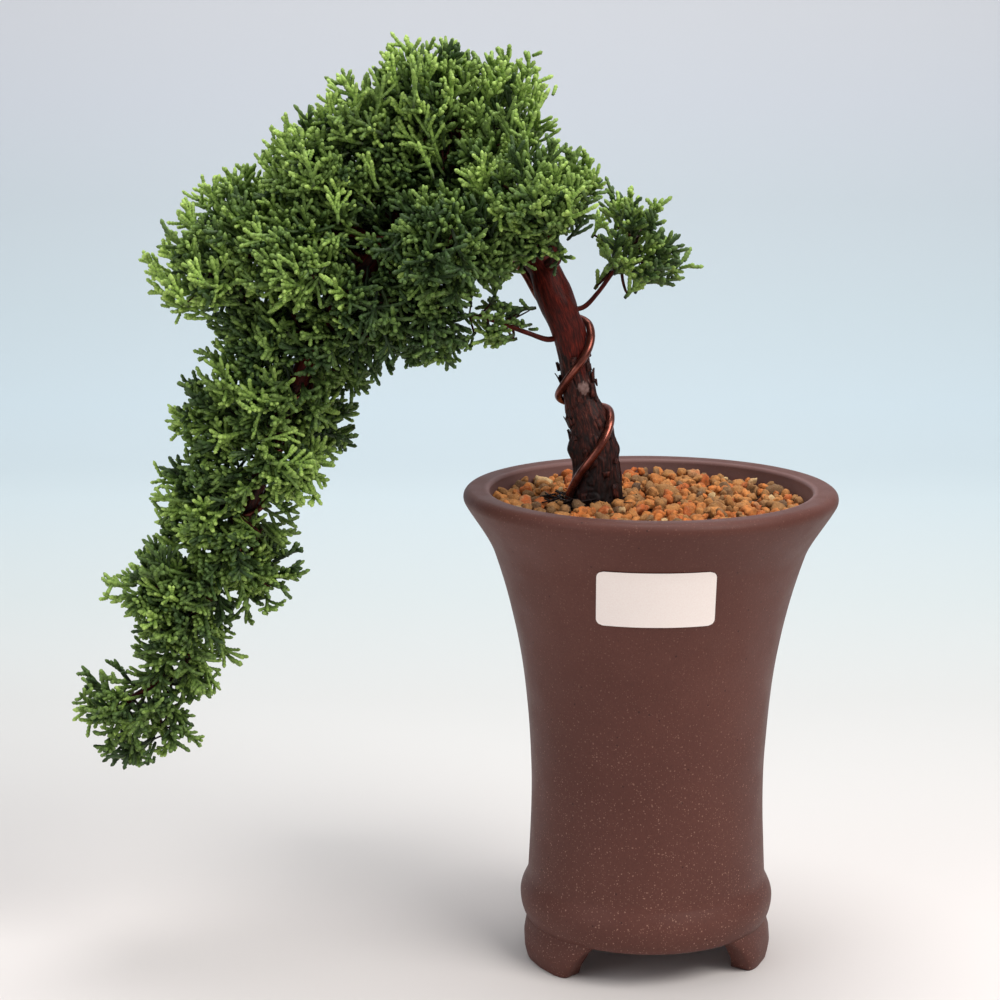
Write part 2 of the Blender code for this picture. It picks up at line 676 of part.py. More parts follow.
def pad_mesh(name, finish):
    """A lumpy rounded clump, kept on its own side of the planes between neighbours."""
    middle = np.array(placed(PADS[name][0]))
    half = np.array(PADS[name][1]) * SCALE
    size = half.mean()
    planes = []
    for other, (place, other_half) in PADS.items():
        if other != name:
            towards = np.array(placed(place)) - middle
            apart = np.linalg.norm(towards)
            share = size / (size + np.mean(other_half) * SCALE)
            planes.append((towards / apart, apart * share - PAD_GAP / 2))
    seed = Vector(middle * 300)

    def surface(direction):
        plain = 1 / math.sqrt(((direction / half) ** 2).sum())
        lump = noise.noise(Vector(direction) * PAD_LUMP_SIZE + seed)
        reach = plain * (1 + PAD_LUMP * 2 * lump)
        for normal, distance in planes:
            facing = normal.dot(direction)
            if facing > 0:
                reach = min(reach, distance / facing)
        return middle + direction * reach

    vertices = []
    for row in range(1, PAD_ROWS):
        tilt = math.pi * row / PAD_ROWS
        for column in range(PAD_COLUMNS):
            turn = 2 * math.pi * (column + row % 2 / 2) / PAD_COLUMNS
            vertices.append(surface(np.array([math.sin(tilt) * math.cos(turn),
                                              math.sin(tilt) * math.sin(turn),
                                              math.cos(tilt)])))
    faces = []
    for row in range(PAD_ROWS - 2):
        shift = row % 2  # the row below this one is turned by half a column
        for column in range(PAD_COLUMNS):
            a = row * PAD_COLUMNS + column
            b = row * PAD_COLUMNS + (column + 1) % PAD_COLUMNS
            c, d = a + PAD_COLUMNS, b + PAD_COLUMNS
            if shift:
                faces += [(a, b, c), (b, d, c)]
            else:
                faces += [(a, b, d), (a, d, c)]
    for direction, start in ((1.0, 0), (-1.0, (PAD_ROWS - 2) * PAD_COLUMNS)):
        pole = len(vertices)
        vertices.append(surface(np.array([0.0, 0.0, direction])))
        for column in range(PAD_COLUMNS):
            faces.append((start + column, start + (column + 1) % PAD_COLUMNS, pole))
    return add_object(name, vertices, faces, finish, sharp_degrees=60.0)


# ---- assembly ----

def make_tree():
    bark = material("bark", (0.085, 0.024, 0.018), 0.6)
    twig = material("twig_bark", (0.16, 0.055, 0.030), 0.7)
    copper = material("copper_wire", (0.30, 0.10, 0.055), 0.35, 0.8)
    leaf = material("scale_leaves", (0.085, 0.20, 0.045), 0.6)

    points, radii = stem(TRUNK, TRUNK_STEP)
    tube("trunk", points, radii, TRUNK_SIDES, bark)
    room = {"bark": tube("trunk_room", points, radii + GAP, TRUNK_SIDES),
            "sleeve": tube("sleeve_room", points, sleeve_radii(points, radii), TRUNK_SIDES)}

    wire_rooms = []
    for name, route, wire, sides in (
            ("trunk_wire", trunk_wire_route(), TRUNK_WIRE, 7),
            ("cascade_wire", cascade_wire_route(), CASCADE_WIRE, 6)):
        line = wound(route, wire)
        tube(name, line, [wire / 2] * len(line), sides, copper)
        wire_rooms.append(tube(f"{name}_room", line, [wire / 2 + GAP] * len(line), sides))

    branch_rooms = []
    for name, rows in BRANCHES.items():
        line, girth = stem(rows, BRANCH_STEP)
        branch = tube(name, line, girth, BRANCH_SIDES, twig)
        combine(branch, [room["bark"]] + wire_rooms + branch_rooms, "DIFFERENCE")
        branch_rooms.append(tube(f"{name}_room", line, girth + GAP, BRANCH_SIDES))

    for name in PADS:
        pad = pad_mesh(name, leaf)
        combine(pad, [room["sleeve"]] + branch_rooms, "DIFFERENCE")
    return list(room.values()) + wire_rooms + branch_rooms


def move_origin_to_bottom_centre():
    """Moves every part so that the bottom centre of the whole box is the origin."""
    bpy.context.view_layer.update()
    boxes = [box_of(obj) for obj in bpy.data.objects]
    low = np.min([box[0] for box in boxes], axis=0)
    high = np.max([box[1] for box in boxes], axis=0)
    middle = (low + high) / 2
    for obj in bpy.data.objects:
        obj.location = obj.location - Vector((middle[0], middle[1], low[2]))


def main():
    clear_scene()
    make_pot(material("stoneware", (0.105, 0.045, 0.032), 0.55))
    make_drain_screen(material("screen_plastic", (0.02, 0.02, 0.02), 0.6))
    make_screen_clip(material("clip_wire", (0.35, 0.34, 0.32), 0.4, 0.9))
    make_label(material("label_paper", (0.78, 0.69, 0.65), 0.5))
    soil = make_soil(material("soil", (0.09, 0.05, 0.03), 0.95))
    gravel = make_gravel(material("gravel", (0.46, 0.20, 0.08), 0.9))
    rooms = make_tree()
    trunk_and_wire = [room for room in rooms if room.name in ("trunk_room", "trunk_wire_room")]
    combine(soil, trunk_and_wire, "DIFFERENCE")
    combine(gravel, trunk_and_wire, "DIFFERENCE")
    for room in rooms:
        bpy.data.objects.remove(room, do_unlink=True)
    move_origin_to_bottom_centre()


main()
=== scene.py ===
"""Looks for a semi-cascade juniper bonsai in a tall round footed stoneware pot.

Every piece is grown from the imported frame: stems and wires follow the middles of
their CAD tubes, shoots fill the outlines of the CAD clumps, and the gravel lies in
the CAD pot's mouth.  Metres, +Z up, the front of the tree faces -Y.
"""

import json
import math

import bpy
import numpy as np
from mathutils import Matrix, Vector
from mathutils.bvhtree import BVHTree
from mathutils.kdtree import KDTree


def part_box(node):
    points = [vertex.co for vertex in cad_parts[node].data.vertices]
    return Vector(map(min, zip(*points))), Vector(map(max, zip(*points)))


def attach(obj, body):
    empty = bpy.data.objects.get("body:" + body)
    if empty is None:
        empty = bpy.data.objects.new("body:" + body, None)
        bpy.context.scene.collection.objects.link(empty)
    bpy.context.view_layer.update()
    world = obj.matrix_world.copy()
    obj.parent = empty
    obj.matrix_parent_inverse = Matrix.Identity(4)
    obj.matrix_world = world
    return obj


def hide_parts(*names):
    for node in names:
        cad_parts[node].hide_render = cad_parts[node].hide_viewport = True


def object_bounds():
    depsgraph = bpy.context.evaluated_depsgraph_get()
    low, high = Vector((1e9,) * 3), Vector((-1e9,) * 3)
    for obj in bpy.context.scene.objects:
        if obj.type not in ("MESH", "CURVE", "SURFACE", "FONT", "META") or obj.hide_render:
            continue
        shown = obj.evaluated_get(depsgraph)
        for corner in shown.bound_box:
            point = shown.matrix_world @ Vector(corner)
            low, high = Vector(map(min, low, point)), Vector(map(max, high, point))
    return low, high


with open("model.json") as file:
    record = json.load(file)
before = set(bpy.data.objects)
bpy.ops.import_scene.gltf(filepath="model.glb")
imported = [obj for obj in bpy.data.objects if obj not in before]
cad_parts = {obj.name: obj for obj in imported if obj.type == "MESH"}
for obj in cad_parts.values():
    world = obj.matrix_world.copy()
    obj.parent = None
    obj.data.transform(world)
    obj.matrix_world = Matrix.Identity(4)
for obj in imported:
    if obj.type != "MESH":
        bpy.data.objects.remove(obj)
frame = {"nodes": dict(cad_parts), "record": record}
FRAME_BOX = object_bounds()

NODES = frame["nodes"]
PADS = sorted(name for name in NODES if name.startswith("foliage_"))
BRANCHES = sorted(name for name in NODES if name.startswith("branch_"))
POT_LOW, POT_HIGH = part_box("pot")
AXIS = np.array([(POT_LOW.x + POT_HIGH.x) / 2, (POT_LOW.y + POT_HIGH.y) / 2])
RIM_RADIUS = (POT_HIGH.y - POT_LOW.y) / 2
POT_TOP = POT_HIGH.z
GRAVEL_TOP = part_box("gravel_topping")[1].z
UP = np.array([0.0, 0.0, 1.0])
MM = 0.001

LIP_HEIGHT = 17.5 * MM
LIP_WIDTH = 11.3 * MM
LIP_ROUND = 3.8 * MM  # radius of the lip's outer edge
LIP_CORNER = 28  # degrees below level where that edge ends in the cove
COVE_DEPTH = 26 * MM  # from the rim down to where the wall starts to curve out
WALL = 6.5 * MM
DRAIN_RADIUS = 10 * MM
MOUTH = RIM_RADIUS - LIP_WIDTH
LABEL_SHARE = (0.975, 0.94)  # of the CAD label's width and height
LABEL_CORNER = 3.0 * MM
LABEL_LIFTS = (0.32 * MM, 0.52 * MM)  # its back and its face, out from the wall's mean line
GRAIN_RADIUS = (3.15, 0.34)  # middle size in mm, and spread of its logarithm
GRAIN_LIMITS = (1.4, 5.6)
LEAFY_FROM = 0.30  # metres along the trunk; past this the leaves hide the bark
CROWN_FROM = 0.175


# ---- numbers that vary smoothly through space ----

def hashed(cells, seed):
    """A number from 0 to 1 for each whole-number cell, the same every time."""
    cells = cells.astype(np.int64)
    mixed = (cells[..., 0] * 73856093) ^ (cells[..., 1] * 19349663) ^ (cells[..., 2] * 83492791)
    mixed = (mixed + seed * 2654435761) & 0xFFFFFFFF
    mixed = ((mixed ^ (mixed >> 15)) * 2246822519) & 0xFFFFFFFF
    mixed = ((mixed ^ (mixed >> 13)) * 3266489917) & 0xFFFFFFFF
    return (mixed ^ (mixed >> 16)) / 0xFFFFFFFF


def smooth_noise(points, seed=0):
    """Soft noise from -1 to 1 whose blobs are about one unit across."""
    low = np.floor(points)
    part = points - low
    part = part * part * (3 - 2 * part)
    total = np.zeros(points.shape[:-1])
    for corner in range(8):
        offset = np.array([corner & 1, (corner >> 1) & 1, (corner >> 2) & 1])
        weight = np.prod(np.where(offset == 1, part, 1 - part), axis=-1)
        total += weight * hashed(low + offset, seed)
    return total * 2 - 1


def layered_noise(points, seed=0, layers=3):
    total, size, strength = 0.0, 1.0, 1.0
    for layer in range(layers):
        total = total + strength * smooth_noise(points * size, seed + layer)
        size, strength = size * 2.03, strength * 0.5
    return total


def plates(points, seed=0):
    """Distance to the edge of a broken plate, and a number from 0 to 1 for the plate."""
    low = np.floor(points)
    nearest = np.full(points.shape[:-1], 9.0)
    second = np.full(points.shape[:-1], 9.0)
    plate = np.zeros(points.shape[:-1])
    for x in (-1, 0, 1):
        for y in (-1, 0, 1):
            for z in (-1, 0, 1):
                cell = low + np.array([x, y, z])
                centre = cell + np.stack([hashed(cell, seed + k) for k in (1, 2, 3)], axis=-1)
                distance = np.linalg.norm(points - centre, axis=-1)
                closer = distance < nearest
                second = np.where(closer, nearest, np.minimum(second, distance))
                plate = np.where(closer, hashed(cell, seed + 4), plate)
                nearest = np.where(closer, distance, nearest)
    return second - nearest, plate


def unit(vectors):
    length = np.linalg.norm(vectors, axis=-1, keepdims=True)
    return vectors / np.maximum(length, 1e-12)


def smooth_step(value, low, high):
    part = np.clip((value - low) / (high - low), 0, 1)
    return part * part * (3 - 2 * part)


# ---- meshes from arrays ----

def linked(obj):
    bpy.context.scene.collection.objects.link(obj)
    return obj


def mesh_object(name, vertices, faces, finish, fields=None, bake_map=None):
    """An object from a list of (faces, corners) arrays, with a number or vector per vertex."""
    vertices = np.asarray(vertices, np.float32).reshape(-1, 3)
    groups = [np.asarray(group, np.int32) for group in faces if len(group)]
    corners = np.concatenate([group.ravel() for group in groups])
    sizes = np.concatenate([np.full(len(group), group.shape[1]) for group in groups])
    mesh = bpy.data.meshes.new(name)
    mesh.vertices.add(len(vertices))
    mesh.vertices.foreach_set("co", vertices.ravel())
    mesh.loops.add(len(corners))
    mesh.loops.foreach_set("vertex_index", corners)
    mesh.polygons.add(len(sizes))
    mesh.polygons.foreach_set("loop_start", np.concatenate([[0], np.cumsum(sizes)[:-1]]))
    mesh.update(calc_edges=True)
    mesh.validate()
    mesh.shade_smooth()
    for field, values in (fields or {}).items():
        values = np.asarray(values, np.float32)
        if values.ndim == 2:
            layer = mesh.attributes.new(field, "FLOAT_VECTOR", "POINT")
            layer.data.foreach_set("vector", values.ravel())
        else:
            layer = mesh.attributes.new(field, "FLOAT", "POINT")
            layer.data.foreach_set("value", values)
    if bake_map is not None:
        layer = mesh.uv_layers.new(name="OFBake")
        layer.data.foreach_set("uv", np.asarray(bake_map, np.float32)[corners].ravel())
    mesh.materials.append(finish)
    return linked(bpy.data.objects.new(name, mesh))


def add_piece(name, vertices, faces, finish, nodes, fields=None, bake_map=None):
    """An object of the looks that stands for some CAD nodes."""
    piece = mesh_object(name, vertices, faces, FINISHES[finish], fields, bake_map)
    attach(piece, "root")
    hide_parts(*nodes)
    return piece


def grid_faces(rings, sides):
    """Quads between rings that go round; vertex numbers count along each ring."""
    i = np.arange(sides)
    j = (i + 1) % sides
    ring = np.arange(rings - 1)[:, None] * sides
    quads = np.stack([ring + i, ring + j, ring + sides + j, ring + sides + i], axis=-1)
    return quads.reshape(-1, 4)


def copies(faces, count, points):
    """The same faces for each of several equal parts of some points each."""
    starts = (np.arange(count) * points)[:, None, None]
    return (faces[None] + starts).reshape(-1, faces.shape[1])


def fan(first, sides, tip, flip=False):
    """Triangles between the ring that starts at one vertex number and a tip."""
    i = np.arange(sides)
    ring = [first + (i + 1) % sides, first + i] if flip else [first + i, first + (i + 1) % sides]
    return np.stack(ring + [np.full(sides, tip)], axis=-1)


def slab_faces(rows, columns):
    """Quads of two grids, one above the other, and of the rim between them, in turn."""
    a = (np.arange(rows - 1)[:, None] * columns + np.arange(columns - 1)).ravel()
    back = np.stack([a, a + columns, a + columns + 1, a + 1], axis=-1)
    layer = rows * columns
    face = layer + np.stack([a, a + 1, a + columns + 1, a + columns], axis=-1)
    rim = np.concatenate([np.arange(columns), np.arange(1, rows) * columns + columns - 1,
                          (rows - 1) * columns + np.arange(columns - 2, -1, -1),
                          np.arange(rows - 2, 0, -1) * columns])
    after = np.roll(rim, -1)
    sides = np.stack([rim, after, after + layer, rim + layer], axis=-1)
    return back, face, sides


def across_frames(points):
    """Two directions across a curve at each point, carried along without twisting."""
    heading = unit(np.gradient(points, axis=0))
    side = np.zeros_like(points)
    side[0] = unit(np.cross(heading[0], [0, 1, 0]))
    for i in range(1, len(points)):
        kept = side[i - 1] - heading[i] * np.dot(side[i - 1], heading[i])
        side[i] = unit(kept)
    return heading, side, np.cross(heading, side)


def spokes(side, other, angles):
    """Directions out from a curve, for each of its points and each angle round it."""
    return (side[:, None] * np.cos(angles)[None, :, None]
            + other[:, None] * np.sin(angles)[None, :, None])


def full_turn(sides):
    return np.linspace(0, 2 * math.pi, sides, endpoint=False)


def run_length(points):
    """How far along a curve each of its points lies."""
    return np.concatenate([[0], np.cumsum(np.linalg.norm(np.diff(points, axis=0), axis=1))])


def spline(points, step, radii=None):
    """A smooth curve through the points with one point for about each step."""
    points = np.asarray(points, float)
    data = points if radii is None else np.column_stack([points, radii])
    padded = np.vstack([2 * data[0] - data[1], data, 2 * data[-1] - data[-2]])
    made = []
    for i in range(1, len(padded) - 2):
        a, b, c, d = padded[i - 1:i + 3]
        count = max(int(np.linalg.norm((c - b)[:3]) / step), 1)
        for t in np.arange(count) / count:
            made.append(0.5 * (2 * b + (c - a) * t + (2 * a - 5 * b + 4 * c - d) * t * t
                               + (3 * b - a - 3 * c + d) * t ** 3))
    made.append(data[-1])
    made = np.array(made)
    return (made, None) if radii is None else (made[:, :3], made[:, 3])


# ---- reading the frame ----

def node_arrays(name):
    """Welded corner points and triangles of a CAD node."""
    mesh = NODES[name].data
    points = np.zeros(len(mesh.vertices) * 3, np.float32)
    mesh.vertices.foreach_get("co", points)
    points = points.reshape(-1, 3)
    mesh.calc_loop_triangles()
    triangles = np.zeros(len(mesh.loop_triangles) * 3, np.int32)
    mesh.loop_triangles.foreach_get("vertices", triangles)
    _, first, weld = np.unique(np.round(points * 1e6).astype(np.int64), axis=0,
                               return_index=True, return_inverse=True)
    return points[first].astype(float), weld.ravel()[triangles].reshape(-1, 3)


def centreline(name):
    """Middle and radius of each ring of a tube-shaped CAD node, from a domed end on."""
    points, triangles = node_arrays(name)
    near = [set() for _ in points]
    for a, b, c in triangles:
        near[a].update((b, c))
        near[b].update((a, c))
        near[c].update((a, b))
    best = []
    for pole in range(len(points)):
        sides = len(near[pole])
        if sides < 6:
            continue
        seen, ring, rings = {pole}, [pole], []
        while True:
            ring = sorted(set().union(*(near[v] for v in ring)) - seen)
            seen.update(ring)
            if len(ring) != sides:
                break
            rings.append(ring)
        if len(rings) > len(best):
            best = rings
    middles = np.array([points[ring].mean(0) for ring in best])
    radii = np.array([np.linalg.norm(points[ring] - points[ring].mean(0), axis=1).mean()
                      for ring in best])
    return middles, radii


def from_the_foot(middles, radii):
    """The same curve, starting from the end nearer to the pot's axis."""
    reach = np.linalg.norm(middles[[0, -1], :2] - AXIS, axis=1)
    return (middles, radii) if reach[0] < reach[1] else (middles[::-1], radii[::-1])


trunk_line, trunk_radii = from_the_foot(*centreline("trunk"))
branch_lines = {}
for name in BRANCHES:
    middles, radii = centreline(name)
    gap = [np.linalg.norm(trunk_line - end, axis=1).min() for end in (middles[0], middles[-1])]
    if gap[0] > gap[1]:
        middles, radii = middles[::-1], radii[::-1]
    branch_lines[name] = (middles, radii)


# ---- camera, light and floor ----

LENS = 86.9
CAMERA_PITCH = 0.1942
CAMERA_PLACE = Vector((AXIS[0] - 0.0655, -1.0324, 0.4083))


def add_camera():
    data = bpy.data.cameras.new("camera")
    data.lens = LENS
    data.sensor_width = 36.0
    data.dof.use_dof = False
    camera = bpy.data.objects.new("camera", data)
    camera.location = CAMERA_PLACE
    camera.rotation_euler = (math.pi / 2 - CAMERA_PITCH, 0, 0)
    bpy.context.scene.camera = linked(camera)


def add_area_light(name, place, target, size, power, color):
    data = bpy.data.lights.new(name, "AREA")
    data.shape = "DISK"
    data.size = size
    data.energy = power
    data.color = color
    light = bpy.data.objects.new(name, data)
    light.location = place
    light.rotation_euler = (Vector(target) - Vector(place)).to_track_quat("-Z", "Y").to_euler()
    linked(light)


def add_world(color, strength):
    world = bpy.data.worlds.new("studio")
    world.use_nodes = True
    shader = world.node_tree.nodes["Background"]
    shader.inputs["Color"].default_value = (*color, 1.0)
    shader.inputs["Strength"].default_value = strength
    bpy.context.scene.world = world


# ---- node materials ----

class Finish:
    """A node material under construction; calls return output sockets."""

    def __init__(self, name, roughness=0.6, metallic=0.0, specular=0.5):
        self.material = bpy.data.materials.new(name)
        self.material.use_nodes = True
        self.tree = self.material.node_tree
        self.shader = self.tree.nodes["Principled BSDF"]
        self.connect(self.shader, {"Roughness": roughness, "Metallic": metallic,
                                   "Specular IOR Level": specular})
        self.place = self.node("ShaderNodeTexCoord").outputs["Object"]

    def connect(self, node, inputs):
        """Links sockets to a node's inputs, and sets the inputs that are plain values."""
        for key, value in inputs.items():
            if hasattr(value, "links"):
                self.tree.links.new(value, node.inputs[key])
            elif value is not None:
                node.inputs[key].default_value = value

    def node(self, kind, inputs=None, **settings):
        made = self.tree.nodes.new(kind)
        for key, value in settings.items():
            setattr(made, key, value)
        self.connect(made, inputs or {})
        return made

    def stretched(self, x, y, z):
        """The object's coordinates, each multiplied by a number."""
        return self.node("ShaderNodeVectorMath", {0: self.place, 1: (x, y, z)},
                         operation="MULTIPLY").outputs[0]

    def noise(self, scale, detail=3.0, roughness=0.5, vector=None):
        return self.node("ShaderNodeTexNoise", {
            "Vector": vector or self.place, "Scale": scale, "Detail": detail,
            "Roughness": roughness}).outputs["Fac"]

    def cells(self, scale):
        """Distance to the nearest of some scattered points, and three numbers for that point."""
        made = self.node("ShaderNodeTexVoronoi", {"Vector": self.place, "Scale": scale})
        return made.outputs["Distance"], self.split(made.outputs["Color"], "Color")

    def split(self, value, kind):
        """The three parts of a colour or a place."""
        return self.node("ShaderNodeSeparate" + kind, {0: value}).outputs

    def field(self, name, output="Fac"):
        return self.node("ShaderNodeAttribute", attribute_name=name).outputs[output]

    def math(self, operation, *values):
        return self.node("ShaderNodeMath", dict(enumerate(values)), operation=operation).outputs[0]

    def times(self, *values):
        product = values[0]
        for value in values[1:]:
            product = self.math("MULTIPLY", product, value)
        return product

    def span(self, value, low, high, to_low=0.0, to_high=1.0):
        """Stretches a value from one range to another and clamps it."""
        return self.node("ShaderNodeMapRange", {
            "Value": value, "From Min": low, "From Max": high, "To Min": to_low,
            "To Max": to_high}).outputs["Result"]

    def ramp(self, value, stops):
        made = self.node("ShaderNodeValToRGB", {"Fac": value})
        elements = made.color_ramp.elements
        while len(elements) < len(stops):
            elements.new(0.5)
        for element, (position, color) in zip(elements, stops):
            element.position = position
            element.color = (*color, 1.0)
        return made.outputs["Color"]

    def mix(self, amount, a, b):
        a, b = ((*value, 1.0) if isinstance(value, tuple) else value for value in (a, b))
        return self.node("ShaderNodeMix", {"Factor": amount, 6: a, 7: b},
                         data_type="RGBA").outputs[2]

    def bump(self, height, strength, distance):
        return self.node("ShaderNodeBump", {"Height": height, "Strength": strength,
                                            "Distance": distance}).outputs["Normal"]

    def done(self, color, roughness=None, normal=None):
        self.connect(self.shader, {"Base Color": color, "Roughness": roughness,
                                   "Normal": normal})
        return self.material


def srgb(red, green, blue):
    """A linear colour from the 0 to 255 values of a screen colour."""
    parts = [value / 255 for value in (red, green, blue)]
    return tuple(p / 12.92 if p <= 0.04045 else ((p + 0.055) / 1.055) ** 2.4 for p in parts)


def stoneware():
    """Fired clay with pale specks, thickest low down, pits darkened with painted shade, dust inside
    the mouth and a painted sheen on the rim's top.
    """
    kit = Finish("stoneware", specular=0.18)
    broad = kit.noise(14, 4, 0.6)
    fine = kit.noise(900, 2, 0.6)
    color = kit.ramp(broad, [(0.3, srgb(88, 52, 45)), (0.7, srgb(99, 61, 53))])
    color = kit.mix(kit.span(fine, 0.35, 0.7, 0.0, 0.3), color, srgb(74, 45, 40))
    x, y, z = kit.split(kit.place, "XYZ")
    low = kit.span(z, 0.02, 0.15, 1.0, 0.25)
    ragged = kit.span(kit.noise(2600, 2, 0.6), 0.3, 0.7, -0.12, 0.12)
    for scale, size, share, strength in ((640, 0.20, 0.70, 0.75), (1250, 0.24, 0.66, 0.55)):
        distance, pick = kit.cells(scale)
        speck = kit.times(kit.math("LESS_THAN", kit.math("ADD", distance, ragged), size),
                          kit.math("GREATER_THAN", pick[0], share), low, strength)
        color = kit.mix(speck, color, srgb(164, 124, 108))
    # Pits: small dents in the bump, also darkened in colour as painted shade inside them.
    distance, pick = kit.cells(260)
    pit = kit.times(kit.math("LESS_THAN", distance, 0.12),
                    kit.math("GREATER_THAN", pick[1], 0.86))
    color = kit.mix(kit.times(pit, 0.7), color, srgb(58, 36, 32))
    across = kit.math("SUBTRACT", x, float(AXIS[0]))
    reach = kit.math("SQRT", kit.math("ADD", kit.times(across, across), kit.times(y, y)))
    inner = kit.times(kit.span(reach, MOUTH + 1 * MM, MOUTH + 3 * MM, 0.5, 0.0),
                      kit.span(z, GRAVEL_TOP - 8 * MM, GRAVEL_TOP))
    # Painted sheen: the lip's top face is lightened toward a pale lavender grey.
    rim = kit.span(z, POT_TOP - 2.0 * MM, POT_TOP - 0.4 * MM, 0.0, 0.06)
    # Real dust inside the mouth and the painted sheen on the rim share one pale mix.
    dust_and_sheen = kit.times(kit.math("MAXIMUM", inner, rim), kit.span(broad, 0.3, 0.7, 0.7, 1.0))
    color = kit.mix(dust_and_sheen, color, srgb(140, 112, 110))
    turning = kit.noise(160, 2, 0.5, kit.stretched(0.02, 0.02, 1.0))
    height = kit.math("SUBTRACT", kit.times(kit.noise(1500, 2, 0.5), 0.5), pit)
    height = kit.math("ADD", height, kit.times(turning, 0.8))
    rough = kit.span(kit.noise(60, 3, 0.6), 0.3, 0.7, 0.44, 0.56)
    return kit.done(color, rough, kit.bump(height, 0.35, 0.0003))


def bark():
    """Fields: grain (a place stretched along the stem), flake (0 smooth vein to 1 bark),
    edge (0 in a crack to 1; low values are darkened as painted shade), wet (1 by the gravel), pale
    (1 where it is peeled)."""
    kit = Finish("bark", roughness=0.62, specular=0.16)
    strand = kit.noise(1.0, 5, 0.65, kit.field("grain", "Vector"))
    speckle = kit.noise(700, 3, 0.6)
    flake = kit.field("flake")
    rough_bark = kit.ramp(strand, [(0.32, srgb(17, 10, 9)), (0.47, srgb(43, 20, 17)),
                                   (0.60, srgb(80, 36, 28)), (0.75, srgb(116, 68, 56))])
    vein = kit.ramp(strand, [(0.28, srgb(24, 6, 4)), (0.48, srgb(66, 16, 10)),
                             (0.72, srgb(110, 34, 22))])
    color = kit.mix(flake, vein, rough_bark)
    # Painted shade in the cracks between the bark plates, and on loose flakes by their shade value.
    color = kit.mix(kit.span(kit.field("edge"), 0.0, 0.5, 0.75, 0.0), color, srgb(20, 13, 12))
    lichen = kit.times(kit.span(speckle, 0.64, 0.74, 0.0, 0.3), flake)
    color = kit.mix(lichen, color, srgb(112, 84, 76))
    color = kit.mix(kit.times(kit.field("wet"), 0.9), color, srgb(17, 11, 11))
    peeled = kit.ramp(speckle, [(0.3, srgb(92, 66, 60)), (0.7, srgb(138, 112, 106))])
    color = kit.mix(kit.field("pale"), color, peeled)
    height = kit.math("ADD", strand, kit.times(speckle, 0.4))
    return kit.done(color, kit.span(strand, 0.3, 0.7, 0.40, 0.64), kit.bump(height, 0.5, 0.0006))


def copper_wire():
    """Copper-brown wire, darker where the coat is worn."""
    kit = Finish("copper_wire", roughness=0.3, metallic=0.85)
    streak = kit.noise(220, 3, 0.6)
    color = kit.ramp(streak, [(0.35, srgb(96, 47, 39)), (0.65, srgb(146, 84, 70))])
    worn = kit.noise(60, 4, 0.7)
    color = kit.mix(kit.span(worn, 0.5, 0.7, 0.0, 0.7), color, srgb(70, 32, 27))
    rough = kit.span(worn, 0.3, 0.7, 0.22, 0.36)
    return kit.done(color, rough, kit.bump(streak, 0.12, 0.0002))


def clay_grains():
    """Field: tone (0 grey-brown over orange to 1 cream), one for each grain."""
    kit = Finish("clay_grains", roughness=0.85, specular=0.25)
    color = kit.ramp(kit.field("tone"), [
        (0.0, srgb(82, 64, 52)), (0.12, srgb(122, 94, 66)), (0.30, srgb(160, 114, 68)),
        (0.52, srgb(196, 130, 70)), (0.74, srgb(206, 118, 56)), (0.88, srgb(182, 92, 46)),
        (1.0, srgb(206, 174, 126))])
    patch = kit.noise(420, 4, 0.65)
    color = kit.mix(kit.span(patch, 0.42, 0.6, 0.0, 0.5), color, srgb(108, 70, 44))
    dust = kit.noise(1600, 2, 0.6)
    color = kit.mix(kit.span(dust, 0.52, 0.75, 0.0, 0.3), color, srgb(214, 176, 130))
    normal = kit.bump(kit.math("ADD", patch, dust), 0.55, 0.0005)
    return kit.done(color, None, normal)


def planting_mix():
    """The dark soil under the grains."""
    kit = Finish("planting_mix", roughness=0.95, specular=0.2)
    fleck = kit.noise(600, 4, 0.7)
    color = kit.ramp(fleck, [(0.35, srgb(30, 20, 14)), (0.6, srgb(70, 46, 30)),
                             (0.75, srgb(116, 80, 50))])
    return kit.done(color, None, kit.bump(fleck, 0.7, 0.001))


def sticker():
    """Blank white paper with a faint fibre."""
    kit = Finish("sticker", roughness=0.38, specular=0.5)
    fibre = kit.noise(1800, 2, 0.5)
    color = kit.ramp(fibre, [(0.3, srgb(246, 232, 225)), (0.7, srgb(250, 239, 232))])
    return kit.done(color, None, kit.bump(fibre, 0.05, 0.0001))


def foliage_finish():
    """Fields: age (0 oldest base to 1 newest tip; the darkness at low ages is partly painted shade
    deep in the sprays), tone (0 deep shade to 1 sunny: a painted-shade and a sunlit copy of the
    green).
    """
    kit = Finish("foliage", roughness=0.5, specular=0.3)
    age = kit.field("age")
    # The first ramp is the painted-shade copy of the green; its dark low end also paints shade at
    # the shoots' bases.
    shaded_green = kit.ramp(age, [(0.0, srgb(34, 26, 16)), (0.14, srgb(21, 28, 16)),
                         (0.4, srgb(50, 70, 38)), (0.85, srgb(72, 99, 50)),
                         (1.0, srgb(90, 118, 58))])
    # The second ramp, new, is the sunlit copy of the same green: painted light. Tone picks between
    # the two.
    new = kit.ramp(age, [(0.0, srgb(54, 44, 22)), (0.14, srgb(52, 66, 30)),
                         (0.4, srgb(132, 164, 76)), (0.80, srgb(166, 199, 94)),
                         (1.0, srgb(178, 206, 110))])
    color = kit.mix(kit.field("tone"), shaded_green, new)
    # Dark bands along each shoot: painted shade in the creases between the scale leaves.
    scale = kit.math("PINGPONG", kit.times(age, 24.0), 1.0)
    color = kit.mix(kit.span(scale, 0.05, 0.5, 0.5, 0.0), color, srgb(26, 38, 22))
    return kit.done(color)


FINISHES = {
    "pot": stoneware(), "bark": bark(), "wire": copper_wire(), "grains": clay_grains(),
    "mix": planting_mix(), "label": sticker(), "foliage": foliage_finish(),
}


# ---- pot ----

